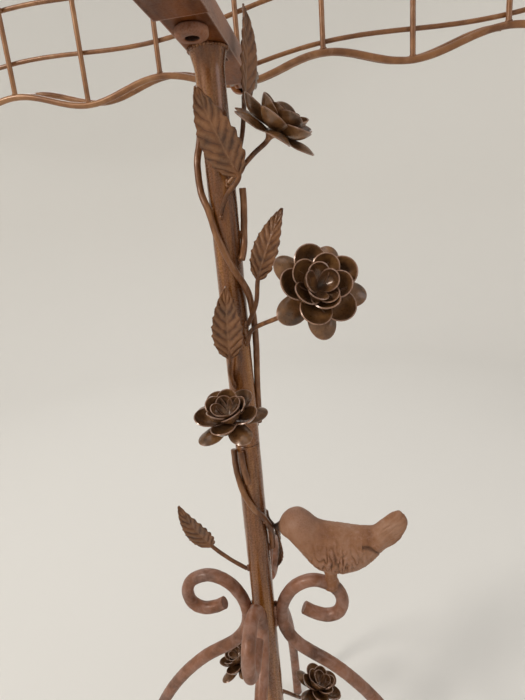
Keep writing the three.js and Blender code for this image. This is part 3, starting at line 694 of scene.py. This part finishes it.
def buildRoses():
    for seed, (name, (body, node, height, seat, axis, radius, roll, stem)) in enumerate(roses.items()):
        seat = seatAt(height, seat)
        turn = facing(axis, roll)
        for tier, rows in tiers.items():
            meshes = []
            for k, look in enumerate(rows):
                share = 2 * math.pi / look["petals"]
                mesh = grown(petalMesh(radius, look), petalRing, {
                    "Petals": look["petals"], "Tilt": look["tilt"], "Turn": look["turn"] * share,
                    "Wobble": petalShape["wobble"], "Seed": 10 * seed + k, "Finish": petalPaint})
                lift = Matrix.Translation((0, 0, look["lift"] * mm))
                mesh.transform(Matrix.Translation(Vector(seat * mm)) @ turn.to_4x4() @ lift)
                meshes.append(mesh)
            tierName = name + tier.capitalize() + "Petals"
            cadTier = f"{node}_{tier}_petals"
            stands = [cadTier] if cadTier in frame["nodes"] else []
            settle(tierName, joined(tierName, meshes), petalPaint, body, stands, 60)
        down = -np.array(turn.col[2])
        marks = [seat + down * petalShape["stemTop"], seat + down * petalShape["stemStraight"]]
        marks += [seatAt(height, mark) for mark in stem]
        path = evenly(curveThrough(marks), 1.0)
        far = np.linalg.norm(path - seat, axis=1)
        flare = petalShape["stemFlare"] * np.exp(-(far / petalShape["stemFlareLength"]) ** 2)
        stalk = sweep(path, leafShape["stemRadius"] + flare, 16, dents=leafShape["stemDents"])
        addPiece(name + "Stem", [stalk], vinePaint, body, "brown_paint", node + "_stem")


def joined(name, meshes):
    mesh = bpy.data.meshes.new(name)
    points, faces, wearAndShading, start = [], [], [], 0
    for part in meshes:
        co = np.empty(len(part.vertices) * 3)
        part.vertices.foreach_get("co", co)
        points.append(co.reshape(-1, 3))
        faces += [tuple(v + start for v in p.vertices) for p in part.polygons]
        value = np.empty(len(part.vertices), np.float32)
        part.attributes["wearAndShading"].data.foreach_get("value", value)
        wearAndShading.append(value)
        start += len(part.vertices)
    mesh.from_pydata(np.concatenate(points).tolist(), [], faces)
    setLayer(mesh, "wearAndShading", np.concatenate(wearAndShading))
    return mesh


buildRoses()
print("roses built")

birdShape = {
    # along the body from the beak: distance from the axis, top and bottom above the junction, half width
    "stations": [
        (14.5, 80.2, 79.4, 0.4), (20, 83, 75, 3.5), (24, 89.6, 72, 8.5), (30, 94.3, 68, 13.5),
        (38, 95.3, 58, 16.5), (45, 91, 48.6, 18), (53, 84, 41.4, 19), (63, 81, 38.5, 19.5),
        (76, 80, 38.7, 18.5), (88, 79, 43, 15.5), (99, 80.5, 51.4, 11.5), (108, 89, 60.9, 8.5),
        (118, 96, 68.5, 6.5), (124, 92, 78.5, 4.5), (126, 88, 84, 1.5)],
    "sides": 120, "stationSteps": 15, "feather": 1.5, "tailFeather": 0.8, "cast": 0.4, "castMm": 8,
    "flankX": 69, "flankLength": 24, "flankZ": 57, "flankHeight": 15, "scratchWidth": 0.22,
    "rumpFrom": 89, "rumpTo": 107, "rumpZ": 70, "rumpBend": 0.07, "rumpCrest": 91,
    "tailFrom": 104, "tailBlend": 3, "beakEnd": 23, "beakBlend": 3,
    "crownX": 40, "crownZ": 92, "crownSize": 26,
    "pegReach": 62, "pegLean": 0.5, "pegLow": 19, "pegHigh": 42, "pegRadius": 6.2, "pegSwell": 0.9,
    "pegDents": 1.0, "pegDentSize": 4,
}


# How deep the casting is cut at a place on the body, and how it is worn and shaded there: paler on the
# raised relief, partly rub and partly painted highlight, and darkened by painted shade in its grooves
def plumage(x, y, z, across):
    s = birdShape
    flank = math.exp(-((x - s["flankX"]) / s["flankLength"]) ** 2
                     - ((z - s["flankZ"]) / s["flankHeight"]) ** 2)
    # steep scratches and small scales on the flank, a fan of fine ribs along the tail
    scratch = max(0, 1 - abs(noise.noise(Vector((x / 3.2, y / 14, z / 10 + 3)))) / s["scratchWidth"])
    scale = noise.noise(Vector((x / 2.6, y / 5, z / 2.6)))
    tail = 1 / (1 + math.exp(-(x - s["tailFrom"]) / s["tailBlend"]))
    fan = noise.noise(Vector(((z - 0.7 * x) / 1.5, (x + z) / 16, y / 7)))
    # one bent groove parts the wing from the tail
    rump = 0
    if s["rumpFrom"] < x < s["rumpTo"] and across > 0.2:
        rump = math.exp(-(z - s["rumpZ"] + s["rumpBend"] * max(x - s["rumpCrest"], 0) ** 2) ** 2 / 2)
    groove = flank * (scratch - 0.5 * scale) + rump
    depth = -s["feather"] * groove + s["tailFeather"] * tail * fan
    depth += s["cast"] * noise.noise(Vector((x, y, z)) / s["castMm"])
    beak = min(1, max(0, (s["beakEnd"] - x) / s["beakBlend"]))
    crown = max(0, 1 - math.hypot(x - s["crownX"], z - s["crownZ"]) / s["crownSize"])
    # paler between the scratches and on the tail ribs, partly rub and partly painted highlight, and on the
    # crown; dark paint on the beak, and painted shade in the grooves
    rubAndHighlight = 0.5 * max(0, 1 - groove) * flank + 0.3 * tail * max(0, fan) + 0.5 * crown
    return depth, rubAndHighlight - beak - min(0.6, 0.9 * groove)


def buildBird():
    shape = birdShape
    stations = curveThrough([s[:3] for s in shape["stations"]], shape["stationSteps"])
    widths = curveThrough([(s[0], s[3], 0) for s in shape["stations"]], shape["stationSteps"])
    sides = shape["sides"]
    turn = 2 * np.pi * np.arange(sides) / sides
    points, wearAndShading = [], []
    for (x, top, bottom), (_, half, _) in zip(stations, widths):
        middle, high = (top + bottom) / 2, (top - bottom) / 2
        for c, s in zip(np.cos(turn), np.sin(turn)):
            y, z = -s * half, middle + c * high
            depth, wornAndShaded = plumage(x, y, z, abs(s))
            out = np.array([0, -s / max(half, 1), c / max(high, 1)])
            out /= np.linalg.norm(out)
            points.append(np.array([x, y, junctionHeight + z]) + out * depth * min(1, half / 6))
            wearAndShading.append(wornAndShaded)
    body = (np.array(points), ringFaces(len(stations), sides), np.clip(np.array(wearAndShading), -1, 1))
    addPiece("bird", [body], birdPaint, "base", "cast_bird", "bird")
    low, high = junctionHeight + shape["pegLow"], junctionHeight + shape["pegHigh"]
    leaning = [[shape["pegReach"], 0, low], [shape["pegReach"] + shape["pegLean"], 0, high]]
    path = evenly(np.array(leaning), 0.8)
    swell = shape["pegRadius"] + shape["pegSwell"] * np.cos(np.linspace(0, 2 * np.pi, len(path)))
    peg = sweep(path, swell, 28, dents=shape["pegDents"], dentSize=shape["pegDentSize"])
    addPiece("birdPeg", [peg], birdPaint, "base", "cast_bird", "bird_peg")


buildBird()
print("bird built")

deskShape = {
    "width": 512, "height": 240, "wires": 7, "edgeBay": 37, "wave": 7.5, "rise": 7,
    "frame": 2.75, "wire": 2.3, "wireSeat": 0.7, "armSeat": 0.8, "armEnd": 1,
    "stave": 1.9, "staveFirst": 12, "stavePitch": 44, "staves": 5, "slope": 0.08, "staveWave": 5.8,
    "shortStart": 12, "ledgeDepth": 36, "ledgeRise": 10, "arm": 2.1, "armRise": 0.8, "overhang": 6,
    "endInset": 0.25, "dents": 0.1, "lipDents": 0.12, "sides": 16, "thinSides": 14,
}
wirePitch = (deskShape["width"] - 2 * deskShape["edgeBay"]) / (deskShape["wires"] - 1)
wirePlaces = [(i - (deskShape["wires"] - 1) / 2) * wirePitch for i in range(deskShape["wires"])]
panelY = (boxMm("desk_wire_1")[0][1] + boxMm("desk_wire_1")[1][1]) / 2
staveY = (boxMm("stave_wire_2")[0][1] + boxMm("stave_wire_2")[1][1]) / 2


def bottomWave(x):
    return hinge[2] + deskShape["rise"] - deskShape["wave"] * np.cos(np.pi * x / wirePitch)


def topWave(x):
    top = hinge[2] + deskShape["rise"] + deskShape["height"]
    return top + deskShape["wave"] * np.cos(np.pi * x / wirePitch)


def staveWave(x, i):
    s = deskShape
    wave = s["staveWave"] * np.sin(np.pi * x / (2 * wirePitch))
    return hinge[2] + s["staveFirst"] + i * s["stavePitch"] + s["slope"] * x + wave


def waved(height, y, low, high):
    x = np.linspace(low, high, 240)
    return evenly(np.column_stack([x, np.full_like(x, y), height(x)]), 1.8)


def buildDesk():
    s = deskShape
    end = s["width"] / 2 - s["endInset"]

    def addWire(name, path, radius, sides, node):
        wire = sweep(path, radius, sides, dents=s["dents"])
        addPiece(name, [wire], wirePaint, "desk", "wire_paint", node)

    addWire("bottomRail", waved(bottomWave, panelY, -end, end), s["frame"], s["sides"], "desk_bottom_rail")
    topPath = waved(lambda x: topWave(x) - s["endInset"], panelY, -end, end)
    addWire("topRail", topPath, s["frame"], s["sides"], "desk_top_rail")
    places = [(f"deskWire{i + 1}", f"desk_wire_{i + 1}", x, s["wire"]) for i, x in enumerate(wirePlaces)]
    places += [("deskLeftSide", "desk_left_side", s["frame"] - end, s["frame"]),
               ("deskRightSide", "desk_right_side", end - s["frame"], s["frame"])]
    for name, node, x, radius in places:
        sunk = s["frame"] * s["wireSeat"]
        low, high = bottomWave(x) + sunk, topWave(x) - sunk
        path = evenly(np.array([[x, panelY, low], [x, panelY, high]]), 3)
        addWire(name, path, radius, s["sides"], node)
    for i in range(s["staves"]):
        start = s["shortStart"] if i == 0 else s["frame"] - end
        path = waved(lambda x: staveWave(x, i), staveY, start, end - s["frame"])
        addWire(f"staveWire{i + 1}", path, s["stave"], s["thinSides"], f"stave_wire_{i + 1}")
    lipY = panelY + s["ledgeDepth"]
    half = wirePlaces[-1] + s["overhang"]
    lip = waved(lambda x: bottomWave(x) + s["ledgeRise"], lipY, -half, half)
    parts = [sweep(lip, s["frame"], s["sides"], dents=s["lipDents"])]
    for x in wirePlaces:
        run = np.array([[x, panelY + s["frame"] * s["armSeat"], bottomWave(x) + s["armRise"]],
                        [x, lipY - s["armEnd"], bottomWave(x) + s["ledgeRise"]]])
        parts.append(sweep(evenly(run, 2), s["arm"], s["thinSides"], dents=s["dents"]))
    addPiece("deskLedge", parts, wirePaint, "desk", "wire_paint", "desk_ledge")


buildDesk()
print("desk built")

headShape = {
    # rounded edges of the bar, bracket and tongue, the worn strip beside them, and how far the edges, the
    # sides and the rest are rubbed
    "edge": 0.9, "edgeSteps": 3, "rubWidth": 1.1, "edgeRub": 0.85, "sideRub": 0.6, "flatRub": -0.25,
    "merge": 0.02, "levelDegrees": 1, "hardDegrees": 35, "sameWay": 0.9998, "sideways": 0.7,
    # turned outlines, as reach and height. The button's socket is darkened with painted shade and the rest
    # of it is rubbed
    "button": [(0.3, -2), (4, -2), (4, -6), (8.4, -6), (10, -4.6), (10, 0), (3, 0), (3, 8), (0.3, 8)],
    "buttonDepth": 6, "socketRadius": 4.4, "socketEdge": -1.5, "buttonRub": 0.35,
    "boltHead": [(0.3, -6.8), (5.5, -6.8), (5.5, -2.8), (3, -2.8), (3, 18.3), (0.3, 18.3)],
    "nut": [(3.35, 6.9), (5.2, 6.9), (5.2, 11), (4.4, 16.3), (3.35, 16.3)],
    "wingFrom": 9.3, "wingTo": 16.3, "wingIn": 3.8, "wingReach": 10.4, "wingThick": 2.2, "wingLean": -0.9,
    "wingRound": 0.9, "wingTwist": 0.3, "wingRub": 0.7,
    "fillets": {"button": 1.4, "boltHead": 1.2, "nut": 0.7, "spigot": 0.8},
    "spigot": [(0.3, -42), (6.2, -42), (8.2, -40), (8.2, 40), (6.2, 42), (0.3, 42)],
}


# The turned outline of that name with every corner rounded
def filleted(name, steps=4):
    profile, reach = headShape[name], headShape["fillets"][name]
    out = [profile[0]]
    for before, here, after in zip(profile, profile[1:], profile[2:]):
        before, here, after = np.array(before, float), np.array(here, float), np.array(after, float)
        inward, onward = before - here, after - here
        room = min(reach, 0.45 * np.linalg.norm(inward), 0.45 * np.linalg.norm(onward))
        start = here + inward / np.linalg.norm(inward) * room
        end = here + onward / np.linalg.norm(onward) * room
        for t in np.linspace(0, 1, steps):
            out.append(tuple((1 - t)**2 * start + 2 * t * (1 - t) * here + t * t * end))
    return out + [profile[-1]]


# A copy of a CAD node with every hard edge rounded and rubbed
def softened(node):
    work = bmesh.new()
    work.from_mesh(frame["nodes"][node].data)
    wearAndShading = work.verts.layers.float.new("wearAndShading")
    bmesh.ops.remove_doubles(work, verts=work.verts, dist=headShape["merge"] * mm)
    bmesh.ops.dissolve_limit(work, angle_limit=math.radians(headShape["levelDegrees"]),
                             verts=work.verts, edges=work.edges)
    turning = math.radians(headShape["hardDegrees"])
    hard = [e for e in work.edges if len(e.link_faces) == 2 and e.calc_face_angle() > turning]
    # the bevel rebuilds the flat faces, so they are found again by the way they face
    facings = [f.normal.copy() for f in work.faces]
    bmesh.ops.bevel(work, geom=hard, offset=headShape["edge"] * mm, offset_type="OFFSET", affect="EDGES",
                    segments=headShape["edgeSteps"], profile=0.5, clamp_overlap=True)
    work.normal_update()
    flat = [f for f in work.faces if any(f.normal.dot(way) > headShape["sameWay"] for way in facings)]
    bmesh.ops.inset_region(work, faces=flat, thickness=headShape["rubWidth"] * mm, depth=0,
                           use_boundary=True, use_even_offset=True)
    flatVerts = set(v for f in flat for v in f.verts)
    sideVerts = set(v for f in flat if abs(f.normal.x) > headShape["sideways"] for v in f.verts)
    for v in work.verts:
        if v in sideVerts:
            v[wearAndShading] = headShape["sideRub"]
        elif v in flatVerts:
            v[wearAndShading] = headShape["flatRub"]
        else:
            v[wearAndShading] = headShape["edgeRub"]
    bmesh.ops.triangulate(work, faces=[f for f in work.faces if len(f.verts) > 4])
    mesh = bpy.data.meshes.new(node)
    work.to_mesh(mesh)
    work.free()
    return mesh


def onX(part, centre):
    points, faces, wearAndShading = part
    return points[:, [2, 0, 1]] + centre, faces, wearAndShading


def wingBlade(side):
    s = headShape
    out = np.linspace(0, 1, 14)[:, None]
    along = np.linspace(-1, 1, 14)[None, :]
    middle = (s["wingFrom"] + s["wingTo"]) / 2
    half = (s["wingTo"] - s["wingFrom"]) / 2 * np.sqrt(1 - s["wingRound"] * out**3)
    y = s["wingIn"] + out * (s["wingReach"] - s["wingIn"])
    x = middle + along * half
    grid = np.stack([x, side * y + 0 * along, s["wingTwist"] * side * out * along], axis=2)
    wearAndShading = s["wingRub"] * np.clip(out * 3 - 2, 0, 1) + 0 * along
    return sheet(grid if side > 0 else grid[:, ::-1], s["wingThick"], wearAndShading)


def buildHead():
    for node, name, body in (("head_bar", "headBar", "mast"), ("hinge_tongue", "hingeTongue", "mast"),
                             ("desk_bracket", "deskBracket", "desk")):
        settle(name, softened(node), bracketPaint, body, [node], 40)
    low, high = boxMm("front_bolt")
    points, faces, _ = lathe(filleted("button"), 48, dents=0.25, dentSize=5)
    # painted shade fills the button's socket; the rest gets a pale rub
    inSocket = np.hypot(points[:, 0], points[:, 1]) < headShape["socketRadius"]
    inSocket &= points[:, 2] < headShape["socketEdge"]
    wearAndShading = np.where(inSocket, -1.0, headShape["buttonRub"])
    centre = np.array([(low[0] + high[0]) / 2, (low[1] + high[1]) / 2, low[2] + headShape["buttonDepth"]])
    button = (points + centre, faces, wearAndShading)
    addPiece("frontBolt", [button], bracketPaint, "mast", "bare_bracket", "front_bolt")
    bolt = onX(lathe(filleted("boltHead"), 40), hinge)
    addPiece("tiltBolt", [bolt], boltZinc, "mast", "zinc_steel", "tilt_bolt")
    nut = filleted("nut")
    parts = [onX(lathe(nut + [nut[0]], 40), 0)] + [wingBlade(side) for side in (1, -1)]
    lean = np.array(Matrix.Rotation(headShape["wingLean"], 3, "X"))
    parts = [(points @ lean.T + hinge, faces, wearAndShading) for points, faces, wearAndShading in parts]
    addPiece("wingNut", parts, boltZinc, "wing_nut", "zinc_steel", "wing_nut")
    points, faces, wearAndShading = lathe(filleted("spigot"), 48)
    spigot = (points + [0, 0, jointHeight], faces, wearAndShading)
    addPiece("jointSpigot", [spigot], boltZinc, "spigot", "zinc_steel", "joint_spigot")


buildHead()
print("head built")

# Sizes of the beads, how far their middles stand off the tube, and how far they lie above and below a mark.
# No bead of the base comes nearer to the seam than seamClear
weldShape = {
    "rough": 0.45, "detail": 2, "seed": 4, "lumpMm": 1.6, "seamClear": 3.5,
    "legBead": 1.7, "legDrop": 14, "legReach": 20, "legPitch": 2.4, "legSpread": 0.26, "legStandoff": 0.9,
    "vineBead": 1.5, "vineStandoff": 0.5, "vineRises": (-1.6, 0.4, 2.2),
    "stemBead": 1.7, "stemStandoff": 0.6, "stemRises": (-1.4, 0, 1.5),
    "barBead": 1.25, "barBeads": 34, "barDrop": 0.9,
    "wireBead": 1.7, "wireSpread": 1.3, "armBead": 1.6, "armSpread": 1.2, "sink": 0.2, "staveBead": 1.8,
    "plateInset": 2, "plateSpread": 2,
}


# One rough bead on every point, scaled by the point's own size
def weldTree():
    tree, given = growTree("weldBeads", {"Rough": "Float", "Detail": "Int", "Seed": "Int",
                                         "Finish": "Material"})

    def jitter(low, high):
        return addNode(tree, "FunctionNodeRandomValue", {
            0: (low,) * 3, 1: (high,) * 3, "Seed": given["Seed"]}, data_type="FLOAT_VECTOR").outputs[0]

    def scaled(vector, factor):
        return addNode(tree, "ShaderNodeVectorMath", {0: vector, "Scale": factor},
                       operation="SCALE").outputs[0]

    size = addNode(tree, "GeometryNodeInputNamedAttribute", {"Name": "size"},
                   data_type="FLOAT").outputs[0]
    ball = addNode(tree, "GeometryNodeMeshIcoSphere", {
        "Radius": 1.0, "Subdivisions": given["Detail"]}).outputs[0]
    spin = jitter(0.0, 6.0)
    scale = scaled(jitter(0.8, 1.2), size)
    beads = addNode(tree, "GeometryNodeInstanceOnPoints", {
        "Points": given["Geometry"], "Instance": ball, "Rotation": spin, "Scale": scale}).outputs[0]
    solid = addNode(tree, "GeometryNodeRealizeInstances", {"Geometry": beads}).outputs[0]
    place = addNode(tree, "GeometryNodeInputPosition").outputs[0]
    lumps = addNode(tree, "ShaderNodeTexNoise", {
        "Vector": place, "Scale": 1 / (weldShape["lumpMm"] * mm), "Detail": 1.0}).outputs[0]
    swell = addNode(tree, "ShaderNodeMath", {0: lumps, 1: 0.5}, operation="SUBTRACT").outputs[0]
    push = addNode(tree, "ShaderNodeMath", {0: swell, 1: given["Rough"]}, operation="MULTIPLY").outputs[0]
    offset = scaled(addNode(tree, "GeometryNodeInputNormal").outputs[0], push)
    lumpy = addNode(tree, "GeometryNodeSetPosition", {"Geometry": solid, "Offset": offset}).outputs[0]
    paintCopies(tree, lumpy, given["Finish"])
    return tree


def legWelds():
    w = weldShape
    ring = poleRadius + w["legStandoff"]
    half = w["legReach"] / 2
    spots = []
    for i in range(4):
        for h in np.arange(-w["legDrop"] - half, -w["legDrop"] + half, w["legPitch"]):
            for side in (-1, 1):
                across = i * math.pi / 2 + side * w["legSpread"]
                x, y = ring * math.cos(across), ring * math.sin(across)
                spots.append((x, y, junctionHeight + h, w["legBead"]))
    return spots


def vineWelds(body):
    w = weldShape
    spots = []
    for vineBody, _, base, marks in vines.values():
        if vineBody == body:
            # at every other mark, and at the last, where the vine lies on the tube
            for h, angle, standoff in marks[::2] + marks[-1:]:
                if standoff < 1:
                    spots += [(*onPole(base + h + rise, angle, w["vineStandoff"]), w["vineBead"])
                              for rise in w["vineRises"] if abs(h + rise) >= w["seamClear"]]
    return spots


def stemWelds(body):
    w = weldShape
    spots = []
    for owner, _, lift, *_, stem in list(leaves.values()) + list(roses.values()):
        if owner == body:
            height, angle, _ = stem[-1]
            spots += [(*onPole(lift + height + rise, angle, w["stemStandoff"]), w["stemBead"])
                      for rise in w["stemRises"]]
    return spots


def barWelds():
    w = weldShape
    ring = poleRadius + pole["flare"] - pole["lip"]
    turns = 2 * np.pi * np.arange(w["barBeads"]) / w["barBeads"]
    return [(ring * math.cos(t), ring * math.sin(t), poleTop - w["barDrop"], w["barBead"]) for t in turns]


def deskWelds():
    s, w = deskShape, weldShape
    spots = []
    for x in wirePlaces:
        for height, inward in ((bottomWave(x), 1), (topWave(x), -1)):
            spots += [(x + dx, panelY, height + inward * (s["frame"] - w["sink"]), w["wireBead"])
                      for dx in (-w["wireSpread"], w["wireSpread"])]
        spots += [(x + dx, panelY + s["frame"], bottomWave(x) + s["armRise"], w["armBead"])
                  for dx in (-w["armSpread"], w["armSpread"])]
        for i in range(s["staves"]):
            if i > 0 or x > s["shortStart"]:
                spots.append((x, (panelY + staveY) / 2, staveWave(x, i), w["staveBead"]))
    low, high = boxMm("desk_bracket")
    for x in (low[0] + w["plateInset"], 0, high[0] - w["plateInset"]):
        spots += [(x, panelY - s["frame"] + w["sink"], bottomWave(0) + dz, w["wireBead"])
                  for dz in (-w["plateSpread"], w["plateSpread"])]
    return spots


def buildWelds():
    tree = weldTree()
    for body, spots, finish, slot in (
            ("base", legWelds() + vineWelds("base") + stemWelds("base"), rodPaint, "brown_paint"),
            ("mast", vineWelds("mast") + stemWelds("mast") + barWelds(), vinePaint, "brown_paint"),
            ("desk", deskWelds(), wirePaint, "wire_paint")):
        spots = np.array(spots)
        mesh = bpy.data.meshes.new("spots")
        mesh.from_pydata((spots[:, :3] * mm).tolist(), [], [])
        setLayer(mesh, "size", spots[:, 3] * mm)
        beads = grown(mesh, tree, {
            "Rough": weldShape["rough"] * 2 * mm, "Detail": weldShape["detail"], "Seed": weldShape["seed"],
            "Finish": finish})
        settle(body + "Welds", beads, finish, body, [], 60)


buildWelds()
print("welds built")

# in metres
stage = {"rings": (0.05, 0.6, 1.2), "floor": 1.75, "cove": 0.75, "wall": 3.4, "drop": 0.0005, "sides": 128,
         "colour": "#e7e5e1", "roughness": 0.9, "air": "#ece9e4", "airStrength": 0.45}


# A studio cove: level floor, quarter-round corner, plain wall
def buildStage():
    floor, bend, sides = stage["floor"], stage["cove"], stage["sides"]
    turns = np.linspace(0, math.pi / 2, 24)
    corner = [(floor + bend * math.sin(t), bend * (1 - math.cos(t))) for t in turns]
    outline = [(r, 0) for r in stage["rings"]] + corner + [(floor + bend, stage["wall"])]
    around = 2 * np.pi * np.arange(sides) / sides
    points = []
    for r, z in outline:
        points += [(r * c, r * s, z - stage["drop"]) for c, s in zip(np.cos(around), np.sin(around))]
    faces = [tuple(range(sides))]
    for i in range(len(outline) - 1):
        for k in range(sides):
            n = (k + 1) % sides
            faces.append((i * sides + k, (i + 1) * sides + k, (i + 1) * sides + n, i * sides + n))
    mesh = bpy.data.meshes.new("stage")
    mesh.from_pydata(points, [], faces)
    mesh.shade_smooth()
    paint = bpy.data.materials.new("palePlaster")
    paint.use_nodes = True
    shader = paint.node_tree.nodes["Principled BSDF"]
    shader.inputs["Base Color"].default_value = hexColour(stage["colour"])
    shader.inputs["Roughness"].default_value = stage["roughness"]
    mesh.materials.append(paint)
    cove = bpy.data.objects.new("stage", mesh)
    bpy.context.scene.collection.objects.link(cove)


buildStage()

world = bpy.data.worlds.new("studio")
bpy.context.scene.world = world
world.use_nodes = True
world.node_tree.nodes["Background"].inputs["Color"].default_value = hexColour(stage["air"])
world.node_tree.nodes["Background"].inputs["Strength"].default_value = stage["airStrength"]


def areaLight(name, place, target, size, power, colour):
    data = bpy.data.lights.new(name, "AREA")
    data.shape = "DISK"
    data.size = size
    data.energy = power
    data.color = hexColour(colour)[:3]
    lamp = bpy.data.objects.new(name, data)
    lamp.location = place
    lamp.rotation_euler = (Vector(target) - Vector(place)).to_track_quat("-Z", "Y").to_euler()
    bpy.context.scene.collection.objects.link(lamp)


middle = (0, 0, 0.5)
areaLight("keyLight", (-1.5, -1.4, 1.9), middle, size=0.45, power=25, colour="#fffaf2")
areaLight("sideLight", (1.7, -0.5, 1.3), middle, size=1.0, power=3.5, colour="#f2f4ff")
areaLight("backLight", (-0.8, 1.7, 1.9), middle, size=1.0, power=8, colour="#ffffff")
areaLight("topLight", (0, 0, 3.2), (0, 0, 0), size=2.4, power=13, colour="#ffffff")
print("stage and lights built")

view = {"place": (0.07928, -0.33445, 0.629), "right": (0.98457, 0.15397, -0.08313),
        "down": (-0.03815, -0.27475, -0.96076), "ahead": (-0.17077, 0.94911, -0.26464), "lens": 23.66}
cameraData = bpy.data.cameras.new("camera")
camera = bpy.data.objects.new("camera", cameraData)
turn = Matrix((Vector(view["right"]), -Vector(view["down"]), -Vector(view["ahead"]))).transposed().to_4x4()
camera.matrix_world = Matrix.Translation(view["place"]) @ turn
cameraData.sensor_width = 36
cameraData.lens = view["lens"]
cameraData.clip_start = 0.02
bpy.context.scene.collection.objects.link(camera)
bpy.context.scene.camera = camera
bpy.context.scene.view_settings.view_transform = "Standard"
